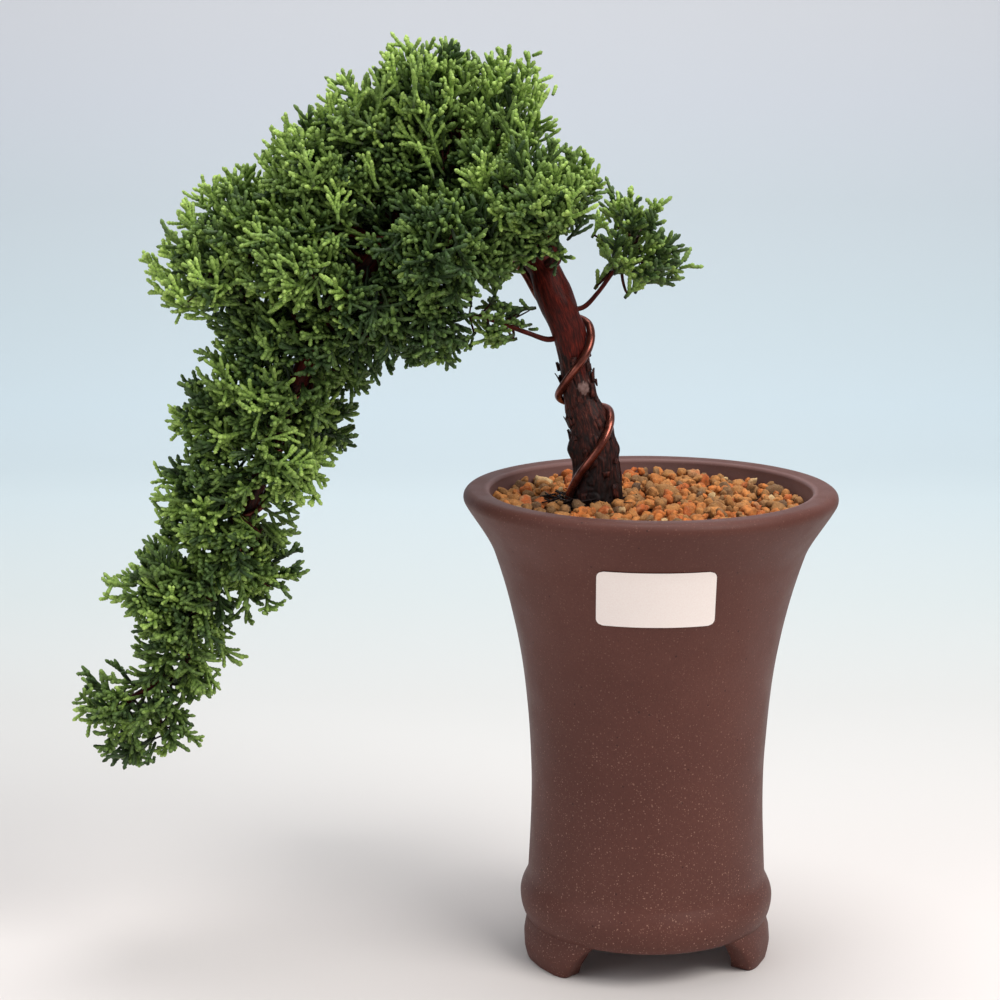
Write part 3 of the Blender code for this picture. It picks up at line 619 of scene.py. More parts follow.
pot_points, pot_triangles = node_arrays("pot")
pot_tree = BVHTree.FromPolygons([tuple(p) for p in pot_points], pot_triangles.tolist())
FAR = 0.3


def wall_radius(height, angle=0.0):
    """Distance from the axis to the pot's outer wall; angles start at the front."""
    along = Vector((math.sin(angle), -math.cos(angle), 0))
    middle = Vector((AXIS[0], AXIS[1], height))
    hit = pot_tree.ray_cast(middle + along * FAR, -along, FAR)
    return (hit[0] - middle).length if hit[0] else 0.0


# Over the feet the wall is met at both of two angles.
FOOT_TOP = min(z for z in np.linspace(0.004, 0.04, 73)
               if min(wall_radius(z), wall_radius(z, 0.06)) > 0.045)
MOULDING_TOP = FOOT_TOP + 20.5 * MM
FLOOR_TOP = FOOT_TOP + 8 * MM


def wall_profile(low, high, count=90, degree=6):
    """A smooth run of (radius, height) along the pot's wall."""
    heights = np.linspace(low, high, count)
    radii = [wall_radius(h) for h in heights]
    fitted = np.polynomial.Polynomial.fit(heights, radii, degree)
    return [(float(fitted(h)), float(h)) for h in heights]


def arc(centre, radius, start, end, count):
    angles = np.radians(np.linspace(start, end, count))
    return [(centre[0] + radius * math.cos(a), centre[1] + radius * math.sin(a)) for a in angles]


def lathe(outline, segments):
    """Points and faces of an outline of (radius, height) turned about the pot's axis."""
    outline = np.array(outline)
    angles = full_turn(segments)
    x = AXIS[0] + outline[:, 0, None] * np.sin(angles)
    y = AXIS[1] - outline[:, 0, None] * np.cos(angles)
    z = np.repeat(outline[:, 1, None], segments, axis=1)
    vertices = np.stack([x, y, z], axis=-1).reshape(-1, 3)
    return vertices, [grid_faces(len(outline), segments)]


def foot(angle, rings=22, sides=40):
    """A foot that narrows downwards, its block edges softened."""
    levels = np.array([  # share of the height, half width in degrees, outer radius in mm
        (0.00, 17.6, 54.6), (0.03, 18.3, 55.0), (0.30, 21.0, 55.8), (0.70, 26.0, 55.4),
        (1.15, 34.0, 53.2)])
    half_depth = 5.75 * MM
    squareness = 0.30
    shares = np.linspace(0, 1.15, rings)
    half = np.interp(shares, levels[:, 0], levels[:, 1])
    outer = np.interp(shares, levels[:, 0], levels[:, 2]) * MM
    turn = full_turn(sides)
    square_x, square_y = (np.sign(wave) * np.abs(wave) ** squareness
                          for wave in (np.cos(turn), np.sin(turn)))
    turned = np.radians(angle + half[:, None] * square_x)
    radius = outer[:, None] - half_depth + half_depth * square_y
    z = np.repeat(shares[:, None] * FOOT_TOP, sides, axis=1)
    vertices = np.stack([AXIS[0] + radius * np.sin(turned), AXIS[1] - radius * np.cos(turned),
                         z], axis=-1).reshape(-1, 3)
    vertices = np.vstack([vertices, vertices[:sides].mean(0)])
    return vertices, [grid_faces(rings, sides), fan(0, sides, len(vertices) - 1, flip=True)]


def merge(parts):
    """One vertex array and one face list from several."""
    vertices, faces, start = [], [], 0
    for points, groups in parts:
        vertices.append(points)
        faces += [group + start for group in groups]
        start += len(points)
    return np.vstack(vertices), faces


def moulding_outline(waist):
    belly = wall_radius(FOOT_TOP + 10.5 * MM)
    outline = []
    for t in np.linspace(-1, 0.86, 34):
        bulge = max(math.cos(math.pi / 2 * t), 0) ** (0.62 if t < 0 else 1.2)
        outline.append((waist + (belly - waist) * bulge,
                        FOOT_TOP + (MOULDING_TOP - FOOT_TOP) * (t + 1) / 2))
    return outline


def cove_outline(body):
    """The curve from the top of the body out to the corner of the lip."""
    start = np.array(body[-1])
    slope = unit(start - np.array(body[-2]))
    turn = math.radians(LIP_CORNER)
    end = np.array([RIM_RADIUS - LIP_ROUND * (1 - math.cos(turn)),
                    POT_TOP - LIP_ROUND * (1 + math.sin(turn))])
    end_slope = np.array([0.42, 0.8])
    reach = end[1] - start[1]
    return [tuple((2 * t ** 3 - 3 * t ** 2 + 1) * start + (t ** 3 - 2 * t ** 2 + t) * slope * reach
                  + (3 * t ** 2 - 2 * t ** 3) * end + (t ** 3 - t ** 2) * end_slope * reach)
            for t in np.linspace(0.05, 1.0, 24)]


def make_pot():
    """The turned body with its feet; returns the outer line from the moulding to the lip."""
    waist = wall_radius(MOULDING_TOP + 2 * MM)
    wall = wall_profile(MOULDING_TOP + 1 * MM, POT_TOP - LIP_HEIGHT - 1.5 * MM)
    body = [place for place in wall if place[1] < POT_TOP - COVE_DEPTH]
    cove = cove_outline(body)
    lip = arc((RIM_RADIUS - LIP_ROUND, POT_TOP - LIP_ROUND), LIP_ROUND, -LIP_CORNER, 84, 14)
    lip += [(RIM_RADIUS - LIP_ROUND - 1.5 * MM, POT_TOP - 0.02 * MM),
            (MOUTH + 2.6 * MM, POT_TOP - 0.25 * MM)]
    lip += arc((MOUTH + 1.6 * MM, POT_TOP - 1.9 * MM), 1.6 * MM, 80, 180, 9)
    inner = [(r - WALL, z) for r, z in reversed(wall) if z > FLOOR_TOP + 4 * MM]
    inner[0] = (MOUTH + 0.3 * MM, POT_TOP - 4 * MM)
    floor = [(inner[-1][0] - 6 * MM, FLOOR_TOP), (DRAIN_RADIUS, FLOOR_TOP),
             (DRAIN_RADIUS, FOOT_TOP), (waist - 4 * MM, FOOT_TOP)]
    outline = moulding_outline(waist) + body + cove + lip + inner + floor
    parts = [lathe(outline + outline[:1], 224)]
    for mount in frame["record"]["mounts"]:
        place = np.array(mount["pos_m"][:2]) - AXIS
        parts.append(foot(math.degrees(math.atan2(place[0], -place[1]))))
    vertices, faces = merge(parts)
    wobble = layered_noise(vertices * 38, 5, 2)[:, None]
    out = vertices.copy()
    out[:, :2] -= AXIS
    out[:, 2] = 0
    vertices = vertices + unit(out) * wobble * 0.18 * MM
    pot = add_piece("stoneware_pot", vertices, faces, "pot", ["pot"])
    pot.data.set_sharp_from_angle(angle=math.radians(50))
    return np.array(body + cove)


def make_label(wall_line):
    """The sticker, laid on the pot's wall, with rounded corners and a plain face."""
    low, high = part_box("label")
    tall = (high.z - low.z) * LABEL_SHARE[1]
    middle = (high.z + low.z) / 2
    points, _ = node_arrays("label")
    angles = np.arctan2(points[:, 0] - AXIS[0], -(points[:, 1] - AXIS[1]))
    turn_low, turn_high = angles.min(), angles.max()
    wide = (turn_high - turn_low) * wall_radius(middle) * LABEL_SHARE[0]
    rows, columns = 40, 72
    vertices = []
    for lift in LABEL_LIFTS:
        for row in np.linspace(-1, 1, rows):
            height = middle + row * tall / 2
            into = max(LABEL_CORNER - (1 - abs(row)) * tall / 2, 0.0)
            rounding = math.sqrt(max(LABEL_CORNER ** 2 - into ** 2, 0.0))
            half = wide / 2 - LABEL_CORNER + rounding
            wall = np.interp(height, wall_line[:, 1], wall_line[:, 0]) + lift
            for column in np.linspace(-1, 1, columns):
                angle = (turn_low + turn_high) / 2 + column * half / wall
                vertices.append((AXIS[0] + wall * math.sin(angle),
                                 AXIS[1] - wall * math.cos(angle), height))
    back, face, sides = slab_faces(rows, columns)
    label = add_piece("blank_label", vertices, [np.roll(back, -1, axis=1), face, sides],
                      "label", ["label"])
    label.data.set_sharp_from_angle(angle=math.radians(40))


# ---- gravel ----

def ball(level):
    """Corner points and triangles of a rounded ball made from an icosahedron."""
    golden = (1 + math.sqrt(5)) / 2
    points = [(-1, golden, 0), (1, golden, 0), (-1, -golden, 0), (1, -golden, 0),
              (0, -1, golden), (0, 1, golden), (0, -1, -golden), (0, 1, -golden),
              (golden, 0, -1), (golden, 0, 1), (-golden, 0, -1), (-golden, 0, 1)]
    faces = [(0, 11, 5), (0, 5, 1), (0, 1, 7), (0, 7, 10), (0, 10, 11), (1, 5, 9), (5, 11, 4),
             (11, 10, 2), (10, 7, 6), (7, 1, 8), (3, 9, 4), (3, 4, 2), (3, 2, 6), (3, 6, 8),
             (3, 8, 9), (4, 9, 5), (2, 4, 11), (6, 2, 10), (8, 6, 7), (9, 8, 1)]
    points = [np.array(p, float) / np.linalg.norm(p) for p in points]
    for _ in range(level):
        between, finer = {}, []

        def middle(a, b):
            key = (min(a, b), max(a, b))
            if key not in between:
                points.append(unit(points[a] + points[b]))
                between[key] = len(points) - 1
            return between[key]

        for a, b, c in faces:
            ab, bc, ca = middle(a, b), middle(b, c), middle(c, a)
            finer += [(a, ab, ca), (b, bc, ab), (c, ca, bc), (ab, bc, ca)]
        faces = finer
    return np.array(points), np.array(faces)


def random_turns(rng, count):
    """Random rotation matrices."""
    w, x, y, z = unit(rng.normal(size=(count, 4))).T
    return np.stack([
        np.stack([1 - 2 * (y * y + z * z), 2 * (x * y - z * w), 2 * (x * z + y * w)], -1),
        np.stack([2 * (x * y + z * w), 1 - 2 * (x * x + z * z), 2 * (y * z - x * w)], -1),
        np.stack([2 * (x * z - y * w), 2 * (y * z + x * w), 1 - 2 * (x * x + y * y)], -1)], -2)


def sunk(x):
    """How far the gravel has sunk at a place: 0 left of the trunk to 1 at the right."""
    return smooth_step((x - AXIS[0]) / MM, 5, 70)


def settle_grains(rng):
    """Drops round grains one at a time into the pot's mouth and keeps where they stop."""
    wall = MOUTH - 0.5 * MM
    foot_number = np.argmin(np.abs(trunk_line[:, 2] - GRAVEL_TOP))
    stem, stem_radius = trunk_line[foot_number, :2], trunk_radii[foot_number]
    bed = GRAVEL_TOP - 6.0 * MM
    placed = np.zeros((0, 4))
    for _ in range(5200):
        size = rng.lognormal(math.log(GRAIN_RADIUS[0]), GRAIN_RADIUS[1])
        radius = float(np.clip(size, *GRAIN_LIMITS)) * MM
        angle, reach = rng.uniform(0, 2 * math.pi), math.sqrt(rng.uniform()) * (wall - radius)
        x, y = AXIS[0] + reach * math.cos(angle), AXIS[1] + reach * math.sin(angle)
        if math.hypot(x - stem[0], y - stem[1]) < stem_radius + radius * 0.55:
            continue
        z = bed + radius * 0.5
        if len(placed):
            flat = np.hypot(placed[:, 0] - x, placed[:, 1] - y)
            touch = (placed[:, 3] + radius) * 0.90
            over = flat < touch
            if over.any():
                rise = np.sqrt(touch[over] ** 2 - flat[over] ** 2) * 0.80
                z = max(z, float((placed[over, 2] + rise).max()))
        lift = 0.9 * smooth_noise(np.array([[x, y, 0.0]]) * 28, 3)[0] * MM
        lift += (0.3 - 2.2 * sunk(x)) * MM
        if z + radius * 0.75 > GRAVEL_TOP + 2.1 * MM + lift:
            continue
        placed = np.vstack([placed, (x, y, z, radius)])
    return placed


def make_gravel():
    """Loose grains, each a ball with lumps and broken facets."""
    rng = np.random.default_rng(11)
    placed = settle_grains(rng)
    shape, triangles = ball(2)
    count = len(placed)
    scale = np.stack([rng.uniform(0.98, 1.30, count), rng.uniform(0.80, 1.05, count),
                      rng.uniform(0.58, 0.84, count)], axis=-1)
    turns = random_turns(rng, count)
    local = np.repeat(shape[None], count, axis=0)
    offsets = rng.uniform(0, 90, (count, 1, 3))
    lumps = layered_noise(local * 1.25 + offsets, 7, 3)[..., None]
    facets, _ = plates(local * 1.2 + offsets, 21)
    local = local * (1 + 0.26 * lumps + 0.30 * (facets[..., None] - 0.35))
    local = local * scale[:, None, :]
    local = np.einsum("nij,nkj->nki", turns, local)
    vertices = local * placed[:, None, 3:4] + placed[:, None, :3]
    tone = rng.beta(1.7, 1.5, count)
    tone = np.where(rng.uniform(size=count) < 0.03, 1.0, tone * 0.93)
    tone = np.repeat(tone[:, None], len(shape), axis=1)
    tone = np.clip(tone + 0.05 * lumps[..., 0], 0, 1)
    for part, chosen in enumerate(np.array_split(np.argsort(placed[:, 2]), 4)):
        faces = copies(triangles, len(chosen), len(shape))
        add_piece(f"gravel_grains_{part + 1}", vertices[chosen], [faces], "grains",
                  ["gravel_topping"], {"tone": tone[chosen].ravel()})


def make_bed():
    """The dark mix seen between the grains."""
    top, base = GRAVEL_TOP - 3.4 * MM, GRAVEL_TOP - 12 * MM
    centre, edge = 0.2 * MM, MOUTH - 0.8 * MM
    outline = [(centre, top)] + [(r, top) for r in np.linspace(3 * MM, edge, 24)]
    outline += [(edge, base), (centre, base)]
    vertices, faces = lathe(outline, 96)
    bumpy = vertices[:, 2] > GRAVEL_TOP - 4 * MM
    vertices[bumpy, 2] += layered_noise(vertices[bumpy] * 400, 9, 3) * 0.7 * MM
    vertices[bumpy, 2] -= 1.6 * MM * sunk(vertices[bumpy, 0])
    add_piece("gravel_bed", vertices, faces, "mix", ["gravel_topping"])


def make_litter():
    """Dark shreds of bark and root lying on the gravel against the trunk."""
    rng = np.random.default_rng(23)
    stem = trunk_line[np.argmin(np.abs(trunk_line[:, 2] - GRAVEL_TOP))]
    parts = []
    for _ in range(90):
        turn, heading = rng.uniform(0, 2 * math.pi, 2)
        reach = rng.uniform(8.5, 17) * MM
        start = stem + reach * np.array([math.cos(turn), math.sin(turn) * 0.8, 0])
        start[0] -= 3.5 * MM
        start[2] = GRAVEL_TOP + rng.uniform(0.4, 2.2) * MM
        end = start + rng.uniform(2.5, 7.5) * MM * np.array([
            math.cos(heading), math.sin(heading), rng.uniform(-0.25, 0.3)])
        parts.append((start, end, unit(end - start), rng.uniform(0.25, 0.6) * MM))
    pieces = make_twigs(parts)
    for _, _, fields in pieces:
        fields["wet"][:] = 1.0
    add_wood("bark_litter", pieces, ["gravel_topping"])


# ---- stems and wires ----

def closed_tube(points, heading, rings, domes):
    """Vertices and faces of a tube whose two ends stand out by the lengths in domes."""
    count, sides = rings.shape[:2]
    tips = np.vstack([points[0] - heading[0] * domes[0], points[-1] + heading[-1] * domes[1]])
    total = count * sides
    faces = [grid_faces(count, sides), fan(0, sides, total, flip=True),
             fan(total - sides, sides, total + 1)]
    return np.vstack([rings.reshape(-1, 3), tips]), faces


def in_strands(local, across, along):
    """Places measured in units of so many mm across a stem and along it."""
    return local / (np.array([across, across, along]) * MM)


def plain_fields(grain, edge):
    """Fields of plain dry bark."""
    count = len(grain)
    return {"grain": grain, "flake": np.ones(count), "edge": edge, "wet": np.zeros(count),
            "pale": np.zeros(count)}


def stem_surface(points, radii, sides, seed, rough=1.0, foot_height=None, marks=(),
                 smooth_from=75 * MM):
    """A barked stem: plates that lift and crack, smooth veins between them.

    marks are swellings and peeled spots: mm along the stem, degrees round it from the
    left over the front, size and swelling in mm, and how pale the bark is there.
    Past smooth_from along the stem, smooth mahogany skin takes over from the plates.
    """
    heading, side, other = across_frames(points)
    angles = full_turn(sides)
    r = radii[:, None]
    along = np.repeat(run_length(points)[:, None], sides, 1)
    local = np.stack([r * np.cos(angles), r * np.sin(angles), along], axis=-1)
    warp = np.stack([smooth_noise(local * 220 + k, seed + k) for k in range(3)], axis=-1)
    edge, plate = plates(in_strands(local, 4.8, 20.0) + warp * 0.5, seed)
    vein = smooth_noise(in_strands(local, 7.0, 38.0) + 3.3, seed + 8)
    ragged = along + 22 * MM * smooth_noise(in_strands(local, 4.5, 30), seed)
    vein = vein * 1.4 - 0.20 - 0.7 * smooth_step(ragged, smooth_from, smooth_from + 24 * MM)
    flake = smooth_step(vein, -0.10, 0.04)
    fine = layered_noise(in_strands(local, 0.9, 2.6), seed + 12, 3)
    broad = layered_noise(in_strands(local, 8.0, 12.0), seed + 20, 2)
    lifted = (plate ** 1.5) * 0.9 * smooth_step(edge, 0.02, 0.14)
    push = broad * 0.06 * r
    pale = np.zeros(flake.shape)
    for where, turn, size, swell, light in marks:
        away = np.angle(np.exp(1j * (angles - math.radians(turn))))[None] * r
        spot = np.exp(-((along - where * MM) ** 2 + away ** 2) / (size * MM) ** 2)
        push = push + spot * swell * MM
        patch = smooth_step(spot + 0.45 * fine + 0.3 * broad, 0.42, 0.5)
        pale = np.maximum(pale, light * patch * smooth_step(spot, 0.12, 0.3))
    push = push + rough * MM * flake * (lifted * 0.85 + fine * 0.16 - 0.25)
    push = push + rough * MM * (1 - flake) * (fine * 0.05 - 0.12)
    vertices = points[:, None] + spokes(side, other, angles) * (r + push)[..., None]
    # Painted shade: near the plate borders on rough bark this falls to 0, and the bark finish
    # darkens it there.
    crack = 1 - (1 - smooth_step(edge, 0.0, 0.16)) * flake
    wet = np.zeros(flake.shape)
    if foot_height is not None:
        wet = 1 - smooth_step(vertices[..., 2] + 4 * MM * broad, foot_height, foot_height + 0.034)
        wet = wet * smooth_step(vein + 0.55, 0.0, 0.5)
    fields = {"grain": in_strands(local, 0.85, 5.0).reshape(-1, 3), "flake": flake.ravel(),
              "pale": pale.ravel(), "edge": (crack * (0.55 + 0.45 * plate)).ravel(),
              "wet": wet.ravel()}
    for key, values in fields.items():
        fields[key] = np.concatenate([values, values[:1], values[-1:]])
    return (*closed_tube(points, heading, vertices, radii[[0, -1]] * 0.4), fields)


def merge_fields(parts):
    vertices, faces = merge([(part[0], part[1]) for part in parts])
    fields = {key: np.concatenate([part[2][key] for part in parts]) for key in parts[0][2]}
    return vertices, faces, fields


def flakes(points, radii, count, rng, low, high):
    """Loose scales of bark that stand off the stem, each a thin closed wedge."""
    heading, side, other = across_frames(points)
    where = rng.uniform(low, high, count)
    index = np.clip(np.searchsorted(run_length(points), where), 1, len(points) - 2)
    angle = rng.uniform(0, 2 * math.pi, count)
    out = side[index] * np.cos(angle)[:, None] + other[index] * np.sin(angle)[:, None]
    across = np.cross(heading[index], out)
    base = points[index] + out * (radii[index] * 0.97)[:, None]
    length = rng.uniform(2.2, 6.0, count)[:, None] * MM
    width = rng.uniform(1.8, 4.2, count)[:, None] * MM
    thick = rng.uniform(0.6, 1.5, count)[:, None] * MM
    lift = rng.uniform(0.0, 0.3, count)[:, None]
    way = np.where(rng.uniform(size=(count, 1)) < 0.5, 1.0, -1.0)
    tip = unit(heading[index] * way + out * lift)
    rows, columns = 4, 3
    blocks = []
    for layer in (0, 1):
        for row in range(rows):
            t = row / (rows - 1)
            for column in range(columns):
                s = column / (columns - 1) - 0.5
                jag = rng.uniform(-0.28, 0.28, (count, 1)) * (t > 0)
                narrow = 1 - 0.45 * t * rng.uniform(0.3, 1.0, (count, 1))
                curl = out * lift * length * t * t * 0.5
                place = base + tip * length * (t + jag * 0.35) + curl
                place = place + across * width * (s * narrow + jag * 0.2)
                blocks.append(place + out * (thick * (1 - 0.6 * t) * layer + 0.15 * MM))
    vertices = np.stack(blocks, axis=1).reshape(-1, 3)
    per = len(blocks)
    shade = np.repeat(rng.uniform(0.15, 1.0, count), per)
    return (vertices, [copies(np.vstack(slab_faces(rows, columns)), count, per)],
            plain_fields(in_strands(vertices, 0.9, 3.0), shade))


def add_wood(name, parts, nodes):
    vertices, faces, fields = merge_fields(parts)
    add_piece(name, vertices, faces, "bark", nodes, fields)


# Knots and peeled spots, in the terms of stem_surface.
TRUNK_MARKS = (
    (38, 8, 4.5, 2.0, 0.0), (36, 172, 4.0, 1.6, 0.0), (44, 186, 3.5, 1.2, 0.0),
    (65, 100, 3.8, 0.9, 1.0), (52, 2, 3.0, 1.2, 0.0), (24, 200, 4.0, 1.2, 0.0),
    (22, -10, 5.0, 1.0, 0.0), (101, 110, 3.6, 1.0, 0.0),
)


def make_trunk():
    """The bare trunk in full detail, and the cascade under the leaves in less."""
    rng = np.random.default_rng(5)
    line, radii = spline(trunk_line, 0.55 * MM, trunk_radii)
    above = line[:, 2] > GRAVEL_TOP - 14 * MM
    reach = run_length(line)
    bare = above & (reach < LEAFY_FROM)
    leafy = above & (reach >= LEAFY_FROM - 0.5 * MM)
    lower = stem_surface(line[bare], radii[bare], 132, 31, 1.0, GRAVEL_TOP, TRUNK_MARKS, 62 * MM)
    upper = stem_surface(line[leafy][::3], radii[leafy][::3], 40, 57, 0.5)
    scales = flakes(line[bare], radii[bare], 48, rng, 0.018, 0.078)
    add_wood("trunk_bark", [lower, scales], ["trunk"])
    add_wood("cascade_bark", [upper], ["trunk"])


# Branches whose wood is seen, drawn thinner than their CAD tubes.
BARE = ("branch_right", "branch_low")


def make_branches():
    """Each branch, begun a little way inside the trunk."""
    parts = []
    for number, name in enumerate(BRANCHES):
        middles, radii = branch_lines[name]
        gap = np.linalg.norm(trunk_line - middles[0], axis=1)
        root = trunk_line[np.argmin(gap)]
        middles = np.vstack([root * 0.6 + middles[0] * 0.4, middles])
        radii = np.concatenate([[radii[0] * 1.1], radii])
        if name in BARE:
            radii = radii * 0.55
        line, fine = spline(middles, 1.1 * MM, radii)
        parts.append(stem_surface(line, fine, 28, 80 + number * 31, 0.55))
    return parts


def make_wire(name, node):
    middles, radii = centreline(node)
    line, fine = spline(middles, 0.8 * MM, radii)
    for _ in range(3):
        line[1:-1] = (line[:-2] + 2 * line[1:-1] + line[2:]) / 4
    heading, side, other = across_frames(line)
    radius = np.median(fine)
    rings = line[:, None] + spokes(side, other, full_turn(20)) * radius
    vertices, faces = closed_tube(line, heading, rings, [radius * 0.15] * 2)
    wire = add_piece(name, vertices, faces, "wire", [node])
    wire.data.set_sharp_from_angle(angle=math.radians(60))


# ---- foliage ----

SHOOT_RINGS = 9
SHOOT_SIDES = 5


def shoots_mesh(base, heading, length, radius, lift, age, tone):
    """Knobby green shoots with rounded tips, all in one pair of arrays."""
    count = len(base)
    steps = np.linspace(0, 1, SHOOT_RINGS)
    run = length[:, None, None] * steps[None, :, None]
    bend = length[:, None, None] * (steps ** 2)[None, :, None]
    curve = base[:, None] + heading[:, None] * run + lift[:, None] * bend
    direction = unit(heading[:, None] + 2 * lift[:, None] * steps[None, :, None])
    helper = np.where(np.abs(heading[:, 2:3]) < 0.8, UP[None], np.array([[1.0, 0, 0]]))
    side = unit(np.cross(heading, helper))[:, None]
    side = unit(side - direction * np.sum(side * direction, -1, keepdims=True))
    other = np.cross(direction, side)
    knob = np.where(np.arange(SHOOT_RINGS) % 2 == 1, 1.10, 0.86)
    shape = knob * (0.80 + 0.20 * steps)
    shape[-1] = 0.62
    twist = (np.arange(SHOOT_RINGS) % 2) * (math.pi / SHOOT_SIDES)
    turned = full_turn(SHOOT_SIDES)[None, :] + twist[:, None]
    size = radius[:, None, None, None] * shape[None, :, None, None]
    around = (side[:, :, None] * np.cos(turned)[None, :, :, None]
              + other[:, :, None] * np.sin(turned)[None, :, :, None])
    rings = curve[:, :, None] + around * size
    tips = curve[:, -1] + direction[:, -1] * (radius * 0.55)[:, None]
    per = SHOOT_RINGS * SHOOT_SIDES + 1
    vertices = np.concatenate([rings.reshape(count, -1, 3), tips[:, None]], axis=1)
    cap = fan((SHOOT_RINGS - 1) * SHOOT_SIDES, SHOOT_SIDES, per - 1)
    faces = [copies(group, count, per) for group in (grid_faces(SHOOT_RINGS, SHOOT_SIDES), cap)]
    # Narrow rings get a lower age, which the green's ramp turns darker: painted shade in the
    # creases between the knobs.
    ages = age[:, :1] + (age[:, 1:] - age[:, :1]) * steps[None] + (knob - 1) * 0.25
    ages = np.concatenate([np.repeat(ages, SHOOT_SIDES, axis=1), age[:, 1:]], axis=1)
    tones = np.repeat(tone[:, None], per, axis=1)
    return vertices, faces, np.clip(ages, 0, 1).ravel(), np.clip(tones, 0, 1).ravel()


def spread_points(rng, points, normals, gap):
    """Keeps points that are at least a gap apart, taken in random order."""
    tree = point_tree(points)
    dropped = np.zeros(len(points), bool)
    kept = []
    for i in rng.permutation(len(points)):
        if dropped[i]:
            continue
        kept.append(i)
        for _, j, _ in tree.find_range(points[i], gap):
            dropped[j] = True
    kept = np.array(kept)
    return points[kept], normals[kept]


def surface_points(rng, points, triangles, count):
    """Random points of a surface, with the way it faces there."""
    a, b, c = (points[triangles[:, k]] for k in range(3))
    cross = np.cross(b - a, c - a)
    area = np.linalg.norm(cross, axis=1)
    pick = rng.choice(len(triangles), count, p=area / area.sum())
    u, v = rng.uniform(size=(2, count, 1))
    flip = (u + v) > 1
    u, v = np.where(flip, 1 - u, u), np.where(flip, 1 - v, v)
    return a[pick] + u * (b - a)[pick] + v * (c - a)[pick], unit(cross[pick])


def point_tree(points):
    tree = KDTree(len(points))
    for number, point in enumerate(points):
        tree.insert(point, number)
    tree.balance()
    return tree


pad_shapes = {name: node_arrays(name) for name in PADS}
pad_middles = {name: shape[0].mean(0) for name, shape in pad_shapes.items()}
pad_trees = {name: BVHTree.FromPolygons([tuple(p) for p in shape[0]], shape[1].tolist())
             for name, shape in pad_shapes.items()}


def inside(name, point):
    """Whether a point lies in a clump: its nearest wall faces away from it."""
    near, normal, _, _ = pad_trees[name].find_nearest(point)
    return near is not None and (near - Vector(point)).dot(normal) > 0


stem_lines = [trunk_line] + [line for line, _ in branch_lines.values()]
wood_tree = point_tree(np.vstack([spline(line, 4 * MM)[0] for line in stem_lines]))

# How a clump differs from the usual: gap between sprays in mm, how much the sprays turn
# upwards, their length share, how sunny the green is, and how strictly the sprays follow
# the way the clump grows.
USUAL = (9.7, 0.25, 1.0, 0.58, 0.62)
CLUMPS = {
    "right_spray": (13.5, 0.4, 0.78, 0.55, 0.8),
    "low_spray": (14.0, -0.1, 0.75, 0.35, 1.0),
    "tip_shoot": (14.0, 0.0, 0.9, 0.9, 1.5),
    "tip_end": (12.5, -0.35, 0.85, 0.75, 1.2),
    "tip_right": (11.0, 0.25, 0.9, 0.7, 0.8),
    "low_left": (10.2, 0.3, 0.9, 0.65, 0.8),
    "low_mid": (10.2, 0.1, 0.9, 0.6, 0.62),
    "mid_low": (10.0, 0.1, 0.95, 0.6, 0.62),
    "mid_left": (9.8, 0.35, 0.95, 0.75, 0.8),
    "lobe_left": (9.6, 0.3, 0.95, 0.7, 0.9),
    "lobe_right": (9.8, 0.1, 0.95, 0.65, 0.7),
    "front": (9.2, -0.05, 1.15, 0.15, 0.62),
    "under": (9.2, -0.35, 1.15, 0.15, 0.8),
    "under_left": (9.4, -0.25, 1.15, 0.2, 0.7),
    "crown_core": (9.4, 0.1, 1.15, 0.12, 0.62),
    "shoulder": (9.4, 0.1, 1.0, 0.2, 0.62),
    "left_tip": (9.0, 0.35, 0.95, 0.9, 0.9),
    "left_upper": (9.0, 0.45, 0.95, 0.85, 0.8),
    "left_inner": (9.2, 0.2, 1.05, 0.45, 0.62),
    "upper_left": (9.4, 0.45, 1.0, 0.75, 0.7),
    "apex": (9.4, 0.45, 1.0, 0.78, 0.62),
    "crown_right": (9.4, 0.4, 1.0, 0.75, 0.62),
    "right_front": (9.0, 0.4, 0.95, 0.48, 0.62),
}


